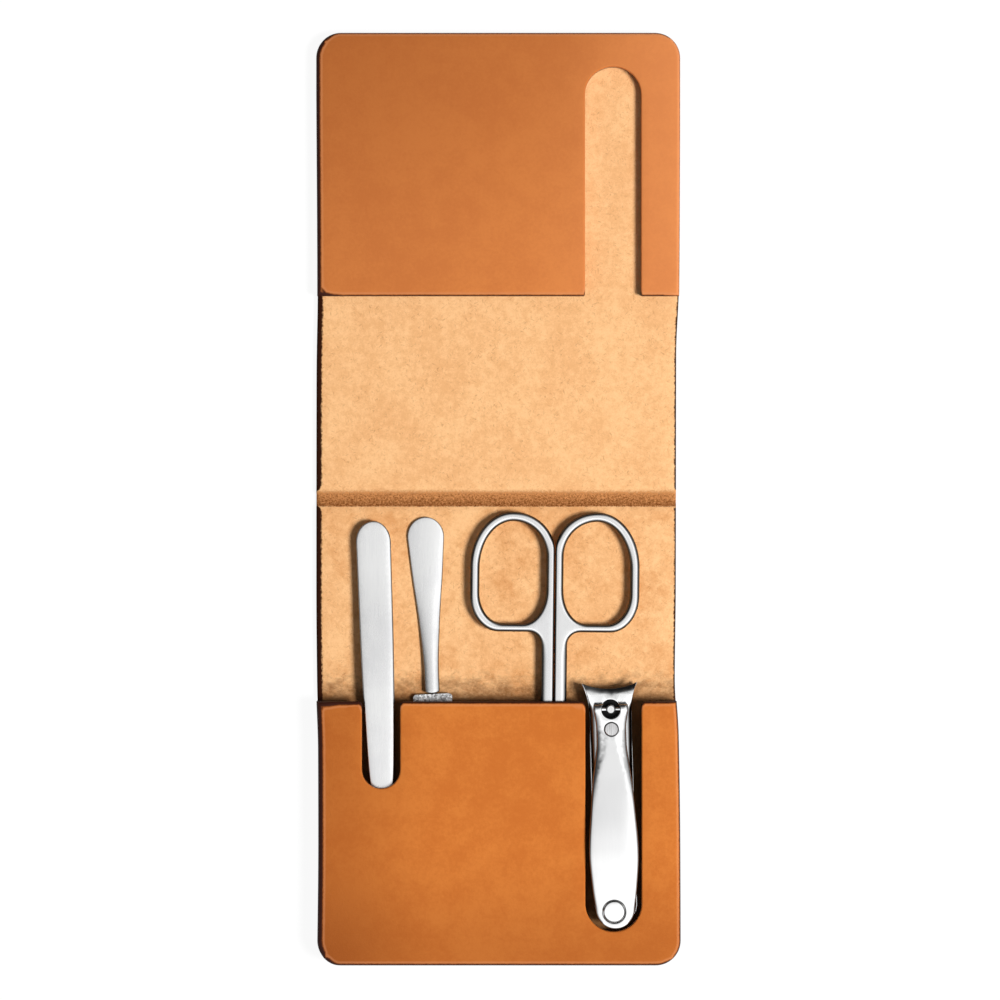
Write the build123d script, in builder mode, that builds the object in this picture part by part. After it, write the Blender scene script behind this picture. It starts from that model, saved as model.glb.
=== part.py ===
from build123d import *
import os
from math import cos, radians, sin

# Manicure set case: a leather case that opens flat, with four steel tools in its pocket.
# Millimetres. +Z is up from the table, +Y runs from the fold to the flap's free end.
# The origin is on the table, under the middle of the fold.

os.makedirs("parts", exist_ok=True)

# ---- Leather case: driving dimensions ----
case_width = 90.0
half_length = 115.0  # from the middle of the fold to either end
corner_radius = 4.8
cover_thickness = 2.0
spacer_thickness = 3.8
front_thickness = 2.0
overlay_thickness = 2.6
closing_gap = 0.2  # left between the overlay and the pocket front when the case is shut
edge_round = 0.6  # burnished outer edges of the cover
edge_bevel = 0.45  # bevelled edges of the two top sheets
mouth_y = 50.0  # pocket mouth and overlay edge, measured from the fold
mouth_corner_round = 1.0
shut_height = spacer_thickness + front_thickness + overlay_thickness + closing_gap
fold_rise = 0.6  # how far above the leather's inner face the fold turns, as bent leather does
fold_half = shut_height / 2 - fold_rise
groove_width = 4.0
groove_depth = 1.0

pocket_floor = cover_thickness
front_bottom = pocket_floor + spacer_thickness

spacer_side = 5.5
spacer_end = 5.0
spacer_inner_round = 4.0
cavity_length = half_length - mouth_y - spacer_end

clipper_slot_x = 28.4
clipper_slot_width = 13.8
clipper_slot_end = 106.6  # how far the slot's round end is from the fold
tweezers_slot_x = -28.8
tweezers_slot_width = 9.4
tweezers_slot_end = 71.4
slot_overrun = 20.0  # how far each slot is cut past the mouth

magnet_radius = 4.0
magnet_height = 1.0
magnet_xs = (-20.0, 8.0)
magnet_y = 105.0
recess_play = 0.05

# ---- Tools: driving dimensions ----
rest_height = cover_thickness + 0.05  # the tools' undersides lie just on the leather
blank_height = 20.0  # tall blanks that the side profiles are cut from
blank_half_width = 12.0

# Tweezers: two equal arms, welded at the near end.
tweezers_x = -30.95
tweezers_y = -5.6
tweezers_lean = 2.04
tweezers_length = 88.0
tweezers_end_half_width = 4.3
tweezers_end_round = 5.2
tweezers_half_widths = ((29.5, 4.1), (54.0, 3.5), (75.0, 2.4))
tweezers_tip_half_width = 1.6
tweezers_tip_direction = (-0.1, -1)
tweezers_tip_slant = 25.0
tweezers_middle = rest_height + 1.85
tweezers_weld_length = 12.0
tweezers_weld_half_height = 1.0
tweezers_belly_half_height = 1.85
tweezers_tip_half_height = 1.75
tweezers_belly = 42.0
tweezers_bow_slope = 0.045  # how steeply the arms leave the weld
tweezers_arm_thickness = 0.8

# Nail file: a spoon-ended handle with a flat grit-coated blade in its neck.
file_x = -18.1
file_y = -4.6
file_lean = 2.5
file_handle_length = 43.6
file_end_half_width = 4.55
file_end_round = 4.9
file_half_widths = ((14.0, 3.8), (26.0, 2.6), (38.0, 1.85))
file_neck_half_width = 1.8
file_neck_end_round = 1.1
file_paddle_thickness = 0.85
file_neck_thickness = 2.0
file_neck_start = 29.0
file_blade_gap = 0.8  # bare tang between the neck and the blade's shoulder
file_blade_length = 53.0
file_blade_half_width = 4.7
file_blade_shoulder_round = 1.6
file_blade_point_length = 16.0
file_blade_tip_round = 1.5
file_blade_thickness = 0.8
file_blade_lift = 0.55
file_tang_half_width = 1.0
file_tang_length = 7.0

# Nail scissors: two equal halves, one turned over, on one screw.
scissors_x = 13.6
scissors_y = -61.5
scissors_lean = -0.6
scissors_thickness = 2.25
scissors_bottom = rest_height + 1.0
scissors_play = 0.05
scissors_middle = scissors_bottom + scissors_thickness / 2
scissors_top = scissors_bottom + scissors_thickness
ring_top = 58.1
ring_bottom = 28.5
ring_outer_x = -20.9
ring_inner_x = -0.12
ring_wall = 2.3
ring_waist_wall = 2.0
ring_bevel = 0.5
ring_shoulder_out = 13.5
ring_shoulder_in = 9.5
ring_heel = 9.0
ring_heel_width = 7.2
hole_shoulder_out = 11.6
hole_shoulder_in = 8.6
hole_heel_out = 7.6
hole_heel_in = 8.4
hole_heel_width = 5.8
shank_overlap = 8.0  # how far the shank runs up into the ring
shank_outer_x = -3.2
shank_fillet = 3.2
boss_radius = 4.2
boss_relief = 4.5
blade_tip = -33.0
blade_root_back_x = 3.6
blade_root_edge_x = -1.4
blade_edge_lap = -0.5
blade_root = -2.0
blade_back = ((3.3, -14.0), (2.0, -25.0))
screw_radius = 1.2
screw_play = 0.05
screw_head_radius = 2.1
screw_head_height = 0.28
screw_slot_width = 0.5
screw_slot_depth = 0.15
screw_slot_turn = 35.0

# Nail clipper: two sprung arms riveted at the tail, a pin, and a lever laid over them upside down.
clipper_x = 27.7
clipper_y = -51.8
clipper_lean = 1.7
arm_thickness = 1.25
jaw_reach = 6.3  # from the pin to the jaw's corners
jaw_half_width = 6.85
jaw_hollow = 1.85
jaw_root = -2.5  # where the jaw begins to curve down
jaw_drop = 0.75
brow_drop = 0.25  # how far the jaw has come down halfway along its curve
flare_point = (0.25, 1.9)  # where the jaw's flare begins: beyond the arm's half width, and before the pin
flare_end_y = -10.0
flare_direction = (-0.45, -1)
face_width = 0.95
face_height = 1.2
arm_half_width = 5.2
arm_tail = 53.6
upper_arm_rise = 2.75
lower_edge_rise = 2.15  # the lower cutting edge, above the arm's underside
chin_start = -2.8
chin_point = (-5.2, 0.7)  # on the lower jaw's outside, above the arm's underside
lip_point = (-5.0, 0.3)  # on the lower jaw's inside, above the arm's top
lip_end = -2.6
rivet_s = 50.0
rivet_radius = 1.5
rivet_head_radius = 2.3
rivet_head_height = 0.45
rivet_play = 0.1
pin_radius = 1.15
pin_play = 0.05
pin_head_radius = 2.3
pin_head_height = 0.7
pin_bevel = 0.3
pin_hole_radius = 1.75
pin_top = 9.95
bar_height = 8.95
bar_radius = 0.45
bar_play = 0.05
bar_half_length = 3.8
nose_radius = 1.4
lever_tail = 53.9
lever_tail_round = 5.0
lever_tail_half_width = 4.8
lever_half_widths = ((5.0, 3.7), (9.0, 3.75), (16.0, 4.7), (24.0, 5.4), (35.0, 6.0), (44.0, 5.4))
lever_nose_half_width = 4.3
lever_crown = ((6.0, 1.0), (18.0, 0.95), (34.0, 1.12))  # distance along, and height above the bar
lever_tail_rise = 1.25
lever_lip_drop = 0.2
lever_thickness = 1.1
rib_near = (5.4, 1.5)  # the lever's pressed rib: distance along and half width, behind the stud
rib_far = (18.0, 4.9)  # and where it has spread to the lever's flanks
rib_height = 0.16  # of the rib above the facets beside it, behind the stud
facet_fall = 13.0
facet_width = 6.0
lever_eye_radius = 2.2
stud_s = 4.85
stud_radius = 1.65
stud_shank_radius = 1.1
stud_height = 0.3
stud_bevel = 0.15
disc_s = 49.0
disc_radius = 3.2
disc_depth = 0.35
disc_proud = 0.12
disc_bevel = 0.1
stud_face = bar_height + 1.0  # underside of the stud's head, sunk a little into the lever
stud_base = bar_height - 0.1
disc_seat = bar_height + 0.85
seat_play = 0.04


def post(radius, height, mode=Mode.ADD):
    """A round post that stands on the current plane."""
    Cylinder(radius, height, align=(Align.CENTER, Align.CENTER, Align.MIN), mode=mode)


def tool_plane(x, y, lean, height=0.0):
    """A level plane in a tool's own directions: x across it, and -y from its near end to its far end."""
    across = (cos(radians(lean)), sin(radians(lean)), 0)
    return Plane(origin=(x, y, height), x_dir=across, z_dir=(0, 0, 1))


def side_plane(plan):
    """The upright plane along a tool's middle: x runs from its near end to its far end, and y is up."""
    return Plane(origin=plan.origin, x_dir=plan.y_dir * -1, z_dir=plan.x_dir * -1)


def round_ended_flank(end_half_width, end_round, stations, last_point, last_direction):
    """The right half of a tool's outline: a quarter ellipse at its near end, then a smooth flank.

    stations are (distance along, half width) pairs that the flank passes through.
    """
    near_end = EllipticalCenterArc((0, -end_round), end_half_width, end_round, start_angle=0, arc_size=90)
    flank = Spline(
        (end_half_width, -end_round),
        *[(half, -along) for along, half in stations],
        last_point,
        tangents=((0, -1), last_direction),
    )
    mirror(near_end, about=Plane.YZ)
    mirror(flank, about=Plane.YZ)


def slot_cut(x, width, end, mouth_sign):
    """Cuts a round-ended slot from the mouth at mouth_sign * mouth_y into the leather."""
    length = end - mouth_y + slot_overrun
    middle = mouth_sign * (end - length / 2)
    with Locations((x, middle)):
        SlotOverall(length, width, rotation=90, mode=Mode.SUBTRACT)


def leather_outline(near_y, far_y):
    """A leather sheet from near_y to its end at far_y, with that end's corners rounded."""
    with Locations((0, (near_y + far_y) / 2)):
        Rectangle(case_width, abs(far_y - near_y))
    end = -1 if far_y > near_y else 0
    fillet(vertices().group_by(Axis.Y)[end], corner_radius)


def burnish(part, fold_side):
    """Rounds the edges of a sheet's underside, but not the one on its fold side, which is +1 or -1."""
    underside = part.faces().sort_by(Axis.Z)[0].edges().sort_by(Axis.Y)
    fillet(underside[:-1] if fold_side > 0 else underside[1:], edge_round)


# ---- Cover: one sheet of leather that bends on both sides of its fold strip ----
with BuildPart() as base_panel:
    with BuildSketch(Plane.XY):
        leather_outline(-fold_half, -half_length)
    extrude(amount=cover_thickness)
    burnish(base_panel, 1)
base_panel.part.label = "base_panel"
export_step(base_panel.part, "parts/base_panel.step")

with BuildPart() as flap_panel:
    with BuildSketch(Plane.XY):
        leather_outline(fold_half, half_length)
    extrude(amount=cover_thickness)
    burnish(flap_panel, -1)
flap_panel.part.label = "flap_panel"
export_step(flap_panel.part, "parts/flap_panel.step")

with BuildPart() as fold_strip:
    with BuildSketch(Plane.YZ):
        with Locations((0, cover_thickness / 2)):
            Rectangle(2 * fold_half, cover_thickness)
        with Locations((0, cover_thickness)):
            Ellipse(groove_width / 2, groove_depth, mode=Mode.SUBTRACT)
    extrude(amount=case_width / 2, both=True)
fold_strip.part.label = "fold_strip"
export_step(fold_strip.part, "parts/fold_strip.step")

# ---- Flap overlay: a thick sheet with a slot that takes the clipper's lever when the case is shut ----
with BuildPart() as flap_overlay:
    with BuildSketch(Plane.XY.offset(cover_thickness)):
        leather_outline(mouth_y, half_length)
        slot_cut(clipper_slot_x, clipper_slot_width, clipper_slot_end, 1)
    extrude(amount=overlay_thickness)
    chamfer(flap_overlay.faces().sort_by(Axis.Z)[-1].edges(), edge_bevel)
    with Locations(*[(x, magnet_y, cover_thickness) for x in magnet_xs]):
        post(magnet_radius + recess_play, magnet_height + recess_play, Mode.SUBTRACT)
flap_overlay.part.label = "flap_overlay"
export_step(flap_overlay.part, "parts/flap_overlay.step")

with BuildPart() as flap_magnets:
    with Locations(*[(x, magnet_y, cover_thickness) for x in magnet_xs]):
        post(magnet_radius, magnet_height)
flap_magnets.part.label = "flap_magnets"
export_step(flap_magnets.part, "parts/flap_magnets.step")

# ---- Pocket: a U-shaped spacer that keeps the slotted front clear of the base ----
with BuildPart() as pocket_spacer:
    with BuildSketch(Plane.XY.offset(pocket_floor)):
        leather_outline(-mouth_y, -half_length)
        with Locations((0, -mouth_y)):
            Rectangle(
                case_width - 2 * spacer_side,
                cavity_length,
                align=(Align.CENTER, Align.MAX),
                mode=Mode.SUBTRACT,
            )
        inner_corners = [v for v in vertices() if abs(v.Y + mouth_y + cavity_length) < edge_round]
        fillet(inner_corners, spacer_inner_round)
    extrude(amount=spacer_thickness)
pocket_spacer.part.label = "pocket_spacer"
export_step(pocket_spacer.part, "parts/pocket_spacer.step")

with BuildPart() as pocket_front:
    with BuildSketch(Plane.XY.offset(front_bottom)):
        leather_outline(-mouth_y, -half_length)
        slot_cut(clipper_slot_x, clipper_slot_width, clipper_slot_end, -1)
        slot_cut(tweezers_slot_x, tweezers_slot_width, tweezers_slot_end, -1)
        lips = [
            v
            for v in vertices()
            if abs(v.Y + mouth_y) < edge_round and abs(v.X) < case_width / 2 - edge_round
        ]
        fillet(lips, mouth_corner_round)
    extrude(amount=front_thickness)
    chamfer(pocket_front.faces().sort_by(Axis.Z)[-1].edges(), edge_bevel)
    with Locations(*[(x, -magnet_y, front_bottom) for x in magnet_xs]):
        post(magnet_radius + recess_play, magnet_height + recess_play, Mode.SUBTRACT)
pocket_front.part.label = "pocket_front"
export_step(pocket_front.part, "parts/pocket_front.step")

with BuildPart() as pocket_magnets:
    with Locations(*[(x, -magnet_y, front_bottom) for x in magnet_xs]):
        post(magnet_radius, magnet_height)
pocket_magnets.part.label = "pocket_magnets"
export_step(pocket_magnets.part, "parts/pocket_magnets.step")

# ---- Tweezers: flat arms that bow apart between the weld and their slanted tips ----
tweezers_plan = tool_plane(tweezers_x, tweezers_y, tweezers_lean)
tweezers_side = side_plane(tool_plane(tweezers_x, tweezers_y, tweezers_lean, tweezers_middle))

with BuildPart() as tweezers_front_arm:
    with BuildSketch(tweezers_side):
        with BuildLine():
            weld = Line((0, tweezers_weld_half_height), (tweezers_weld_length, tweezers_weld_half_height))
            bow = Spline(
                weld @ 1,
                (tweezers_belly, tweezers_belly_half_height),
                tangents=((1, tweezers_bow_slope), (1, 0)),
            )
            reach = Line(bow @ 1, (tweezers_length, tweezers_tip_half_height))
            inner_reach = Line(
                (tweezers_length, tweezers_tip_half_height - tweezers_arm_thickness),
                (tweezers_belly, tweezers_belly_half_height - tweezers_arm_thickness),
            )
            inner_bow = Spline(
                inner_reach @ 1,
                (tweezers_weld_length, 0),
                tangents=((-1, 0), (-1, -tweezers_bow_slope)),
            )
            Line(reach @ 1, inner_reach @ 0)
            Polyline(inner_bow @ 1, (0, 0), weld @ 0)
        make_face()
    extrude(amount=blank_half_width, both=True)
    with BuildSketch(tweezers_plan):
        with BuildLine():
            tip = (tweezers_tip_half_width, -tweezers_length)
            round_ended_flank(
                tweezers_end_half_width,
                tweezers_end_round,
                tweezers_half_widths,
                tip,
                tweezers_tip_direction,
            )
            Line(tip, (-tweezers_tip_half_width, -tweezers_length))
        make_face()
        with Locations((-tweezers_tip_half_width, -tweezers_length)):
            Rectangle(
                4 * tweezers_tip_half_width,
                2 * tweezers_tip_half_width,
                rotation=tweezers_tip_slant,
                align=(Align.CENTER, Align.MAX),
                mode=Mode.SUBTRACT,
            )
    extrude(amount=blank_height, mode=Mode.INTERSECT)
tweezers_front_arm.part.label = "tweezers_front_arm"
export_step(tweezers_front_arm.part, "parts/tweezers_front_arm.step")

with BuildPart() as tweezers_back_arm:
    mirror(tweezers_front_arm.part, about=Plane.XY.offset(tweezers_middle))
tweezers_back_arm.part.label = "tweezers_back_arm"
export_step(tweezers_back_arm.part, "parts/tweezers_back_arm.step")

# ---- Nail file ----
file_plan = tool_plane(file_x, file_y, file_lean)
file_side = side_plane(tool_plane(file_x, file_y, file_lean, rest_height))
file_blade_start = file_handle_length + file_blade_gap
file_blade_plan = tool_plane(file_x, file_y, file_lean, rest_height + file_blade_lift)

with BuildPart() as file_blade:
    with BuildSketch(file_blade_plan):
        with BuildLine():
            shoulder = -file_blade_start
            taper = -file_blade_start - file_blade_length + file_blade_point_length
            edge = Polyline(
                (0, shoulder),
                (file_blade_half_width, shoulder),
                (file_blade_half_width, taper),
                (0, -file_blade_start - file_blade_length),
            )
            mirror(edge, about=Plane.YZ)
        make_face()
        shoulders = vertices().group_by(Axis.Y)[-1].sort_by(Axis.X)
        fillet([shoulders[0], shoulders[-1]], file_blade_shoulder_round)
        fillet(vertices().group_by(Axis.Y)[0], file_blade_tip_round)
        with Locations((0, -file_blade_start)):
            Rectangle(
                2 * file_tang_half_width,
                2 * (file_tang_length + file_blade_gap),
            )
    extrude(amount=file_blade_thickness)
file_blade.part.label = "file_blade"
export_step(file_blade.part, "parts/file_blade.step")

with BuildPart() as file_handle:
    with BuildSketch(file_side):
        with BuildLine():
            paddle = Line((0, file_paddle_thickness), (file_neck_start, file_paddle_thickness))
            rise = Spline(
                paddle @ 1,
                (file_handle_length, file_neck_thickness),
                tangents=((1, 0), (1, 0)),
            )
            Polyline(rise @ 1, (file_handle_length, 0), (0, 0), paddle @ 0)
        make_face()
    extrude(amount=blank_half_width, both=True)
    with BuildSketch(file_plan):
        with BuildLine():
            neck_end = (file_neck_half_width, -file_handle_length)
            round_ended_flank(
                file_end_half_width, file_end_round, file_half_widths, neck_end, (0, -1)
            )
            Line(neck_end, (-file_neck_half_width, -file_handle_length))
        make_face()
        fillet(vertices().group_by(Axis.Y)[0], file_neck_end_round)
    extrude(amount=blank_height, mode=Mode.INTERSECT)
    with BuildSketch(file_blade_plan.offset(-recess_play)):
        with Locations((0, -file_handle_length)):
            Rectangle(
                2 * (file_tang_half_width + recess_play),
                2 * (file_tang_length + recess_play),
            )
    extrude(amount=file_blade_thickness + 2 * recess_play, mode=Mode.SUBTRACT)
file_handle.part.label = "file_handle"
export_step(file_handle.part, "parts/file_handle.step")

# ---- Nail scissors ----
scissors_plan = tool_plane(scissors_x, scissors_y, scissors_lean)
scissors_low_plan = tool_plane(scissors_x, scissors_y, scissors_lean, scissors_bottom)
hole_left = ring_outer_x + ring_wall
hole_right = ring_inner_x - ring_waist_wall
hole_top = ring_top - ring_wall
hole_bottom = ring_bottom + ring_waist_wall


def ring_outline(box, shoulders, heels, heel_width):
    """The lines of an egg-like loop inside box, with elliptical shoulders and heels.

    box is left, right, bottom and top. shoulders and heels are the outer and inner side's heights.
    """
    left, right, bottom, top = box
    shoulder_out, shoulder_in = shoulders
    heel_out, heel_in = heels
    middle = (left + right) / 2
    half = (right - left) / 2
    heel_left = left + heel_width
    heel_right = right - heel_width
    EllipticalCenterArc((middle, top - shoulder_out), half, shoulder_out, start_angle=90, arc_size=90)
    Line((left, top - shoulder_out), (left, bottom + heel_out))
    EllipticalCenterArc((heel_left, bottom + heel_out), heel_width, heel_out, start_angle=180, arc_size=90)
    Line((heel_left, bottom), (heel_right, bottom))
    EllipticalCenterArc((heel_right, bottom + heel_in), heel_width, heel_in, start_angle=270, arc_size=90)
    Line((right, bottom + heel_in), (right, top - shoulder_in))
    EllipticalCenterArc((middle, top - shoulder_in), half, shoulder_in, start_angle=0, arc_size=90)


with BuildPart() as scissors_left_half:
    # Ring and shank, full thickness.
    with BuildSketch(scissors_low_plan) as bow:
        with BuildLine():
            ring_outline(
                (ring_outer_x, ring_inner_x, ring_bottom, ring_top),
                (ring_shoulder_out, ring_shoulder_in),
                (ring_heel, ring_heel),
                ring_heel_width,
            )
        make_face()
        shank_length = ring_bottom + shank_overlap
        with Locations(((shank_outer_x + ring_inner_x) / 2, shank_length / 2)):
            Rectangle(ring_inner_x - shank_outer_x, shank_length)
        web_corner = [
            v
            for v in vertices()
            if abs(v.X - shank_outer_x) < ring_bevel and abs(v.Y - ring_bottom) < ring_bevel
        ]
        fillet(web_corner, shank_fillet)
    extrude(amount=scissors_thickness)
    with BuildSketch(scissors_low_plan):
        with BuildLine():
            ring_outline(
                (hole_left, hole_right, hole_bottom, hole_top),
                (hole_shoulder_out, hole_shoulder_in),
                (hole_heel_out, hole_heel_in),
                hole_heel_width,
            )
        make_face()
    extrude(amount=scissors_thickness, mode=Mode.SUBTRACT)
    chamfer(scissors_left_half.faces().filter_by(Axis.Z).edges(), ring_bevel)
    # Room for the other half's boss, then this half's own boss and blade in the upper layer.
    with Locations(scissors_low_plan):
        post(boss_relief, scissors_thickness / 2 + scissors_play / 2, Mode.SUBTRACT)
    with BuildSketch(tool_plane(scissors_x, scissors_y, scissors_lean, scissors_middle + scissors_play / 2)):
        Circle(boss_radius)
        with BuildLine():
            back = Spline(
                (blade_root_back_x, blade_root),
                *blade_back,
                (blade_edge_lap, blade_tip),
            )
            cutting = Line((blade_edge_lap, blade_tip), (blade_root_edge_x, blade_root))
            Line(cutting @ 1, back @ 0)
        make_face()
    extrude(amount=scissors_thickness / 2 - scissors_play / 2)
    with Locations(scissors_low_plan):
        post(screw_radius + screw_play, scissors_thickness, Mode.SUBTRACT)
scissors_left_half.part.label = "scissors_left_half"
export_step(scissors_left_half.part, "parts/scissors_left_half.step")

scissors_axis = Axis((scissors_x, scissors_y, scissors_middle), scissors_plan.y_dir)
with BuildPart() as scissors_right_half:
    add(scissors_left_half.part.rotate(scissors_axis, 180))
scissors_right_half.part.label = "scissors_right_half"
export_step(scissors_right_half.part, "parts/scissors_right_half.step")

with BuildPart() as scissors_screw:
    with Locations(tool_plane(scissors_x, scissors_y, scissors_lean, rest_height)):
        post(screw_head_radius, scissors_bottom - rest_height - screw_play)
        post(screw_radius, scissors_top + screw_play + screw_head_height - rest_height)
    with Locations(tool_plane(scissors_x, scissors_y, scissors_lean, scissors_top + screw_play)):
        post(screw_head_radius, screw_head_height)
    with Locations(
        tool_plane(scissors_x, scissors_y, screw_slot_turn, scissors_top + screw_play + screw_head_height)
    ):
        Box(3 * screw_head_radius, screw_slot_width, 2 * screw_slot_depth, mode=Mode.SUBTRACT)
scissors_screw.part.label = "scissors_screw"
export_step(scissors_screw.part, "parts/scissors_screw.step")

# ---- Nail clipper ----
clipper_plan = tool_plane(clipper_x, clipper_y, clipper_lean)
clipper_side = side_plane(clipper_plan)
arm_bottom = rest_height
arm_top = arm_bottom + arm_thickness
lower_edge = arm_bottom + lower_edge_rise
upper_bottom = arm_top + seat_play
pin_rise = upper_bottom + upper_arm_rise


def arm_outline():
    """The lines of a clipper arm from above: hollow cutting edge, flared jaw, straight flanks, round tail."""
    jaw = ThreePointArc(
        (jaw_half_width, jaw_reach),
        (0, jaw_reach - jaw_hollow),
        (-jaw_half_width, jaw_reach),
    )
    flare = Spline(
        jaw @ 0,
        (arm_half_width + flare_point[0], flare_point[1]),
        (arm_half_width, flare_end_y),
        tangents=(flare_direction, (0, -1)),
    )
    flank = Line(flare @ 1, (arm_half_width, -arm_tail + arm_half_width))
    mirror(flare, about=Plane.YZ)
    mirror(flank, about=Plane.YZ)
    ThreePointArc(flank @ 1, (0, -arm_tail), (-arm_half_width, -arm_tail + arm_half_width))


with BuildPart() as clipper_lower_arm:
    with BuildSketch(clipper_side):
        with BuildLine():
            under = Line((arm_tail, arm_bottom), (chin_start, arm_bottom))
            chin_middle = (chin_point[0], arm_bottom + chin_point[1])
            chin = ThreePointArc(under @ 1, chin_middle, (-jaw_reach, lower_edge))
            lip_middle = (lip_point[0], arm_top + lip_point[1])
            lip = ThreePointArc(chin @ 1, lip_middle, (lip_end, arm_top))
            Polyline(lip @ 1, (arm_tail, arm_top), under @ 0)
        make_face()
    extrude(amount=blank_half_width, both=True)
    with BuildSketch(clipper_plan):
        with BuildLine():
            arm_outline()
        make_face()
    extrude(amount=blank_height, mode=Mode.INTERSECT)
    with Locations(tool_plane(clipper_x, clipper_y, clipper_lean, arm_bottom)):
        post(pin_radius + pin_play, blank_height, Mode.SUBTRACT)
        post(pin_head_radius + recess_play, pin_head_height + 2 * recess_play, Mode.SUBTRACT)
        with Locations((0, -rivet_s)):
            post(rivet_radius + seat_play, blank_height, Mode.SUBTRACT)
clipper_lower_arm.part.label = "clipper_lower_arm"
export_step(clipper_lower_arm.part, "parts/clipper_lower_arm.step")

with BuildPart() as clipper_upper_arm:
    with BuildSketch(clipper_side):
        with BuildLine():
            tail_flat = Line((arm_tail, upper_bottom), (rivet_s, upper_bottom))
            under = Line(tail_flat @ 1, (jaw_root, pin_rise))
            brow = ThreePointArc(
                under @ 1,
                ((jaw_root - jaw_reach) / 2, pin_rise - brow_drop),
                (-jaw_reach, pin_rise - jaw_drop),
            )
            Polyline(
                brow @ 1,
                (-jaw_reach, pin_rise + arm_thickness),
                (jaw_root, pin_rise + arm_thickness),
                (rivet_s, upper_bottom + arm_thickness),
                (arm_tail, upper_bottom + arm_thickness),
                tail_flat @ 0,
            )
        make_face()
    extrude(amount=blank_half_width, both=True)
    with BuildSketch(clipper_plan):
        with BuildLine():
            arm_outline()
        make_face()
    extrude(amount=blank_height, mode=Mode.INTERSECT)
    # Ground face along the jaw's hollow front.
    front = clipper_upper_arm.faces().sort_by(Axis.Z)[-1].edges().sort_by(SortBy.LENGTH)[-1]
    chamfer(front, face_height, face_width)
    with Locations(tool_plane(clipper_x, clipper_y, clipper_lean, arm_bottom)):
        post(pin_hole_radius, blank_height, Mode.SUBTRACT)
        with Locations((0, -rivet_s)):
            post(rivet_radius + rivet_play, blank_height, Mode.SUBTRACT)
clipper_upper_arm.part.label = "clipper_upper_arm"
export_step(clipper_upper_arm.part, "parts/clipper_upper_arm.step")

with BuildPart() as clipper_tail_rivet:
    rivet_top = upper_bottom + arm_thickness + rivet_play
    with Locations(tool_plane(clipper_x, clipper_y, clipper_lean, arm_bottom)):
        with Locations((0, -rivet_s)):
            post(rivet_radius, rivet_top - arm_bottom + rivet_head_height)
    with Locations(tool_plane(clipper_x, clipper_y, clipper_lean, rivet_top)):
        with Locations((0, -rivet_s)):
            post(rivet_head_radius, rivet_head_height)
clipper_tail_rivet.part.label = "clipper_tail_rivet"
export_step(clipper_tail_rivet.part, "parts/clipper_tail_rivet.step")

with BuildPart() as clipper_pin:
    with Locations(tool_plane(clipper_x, clipper_y, clipper_lean, arm_bottom)):
        post(pin_head_radius, pin_head_height)
        post(pin_radius, pin_top - arm_bottom)
    chamfer(clipper_pin.faces().sort_by(Axis.Z)[-1].edges(), pin_bevel)
    # Notch that the lever's cross bar lies in, open towards the jaws.
    with BuildSketch(clipper_side):
        with Locations((-pin_radius, bar_height)):
            SlotCenterToCenter(2 * pin_radius, 2 * (bar_radius + bar_play), mode=Mode.ADD)
    extrude(amount=2 * pin_radius, both=True, mode=Mode.SUBTRACT)
clipper_pin.part.label = "clipper_pin"
export_step(clipper_pin.part, "parts/clipper_pin.step")


def facet_plane(side):
    """The facet beside the lever's rib, on its right (1) or left (-1): x runs along the crease."""
    near_height = bar_height + lever_crown[0][1] - rib_height
    far_height = bar_height + lever_crown[1][1]
    near = clipper_plan.from_local_coords((side * rib_near[1], -rib_near[0], near_height))
    far = clipper_plan.from_local_coords((side * rib_far[1], -rib_far[0], far_height))
    along = far - near
    outward = clipper_plan.x_dir * side * cos(radians(facet_fall)) - Vector(0, 0, sin(radians(facet_fall)))
    return Plane(origin=near, x_dir=along, z_dir=along.cross(outward) * side)


def facet_align(side):
    """Puts a box on a facet's plane, outside the crease and from the stud on."""
    return (Align.MIN, Align.MIN if side > 0 else Align.MAX, Align.MIN)


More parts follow.
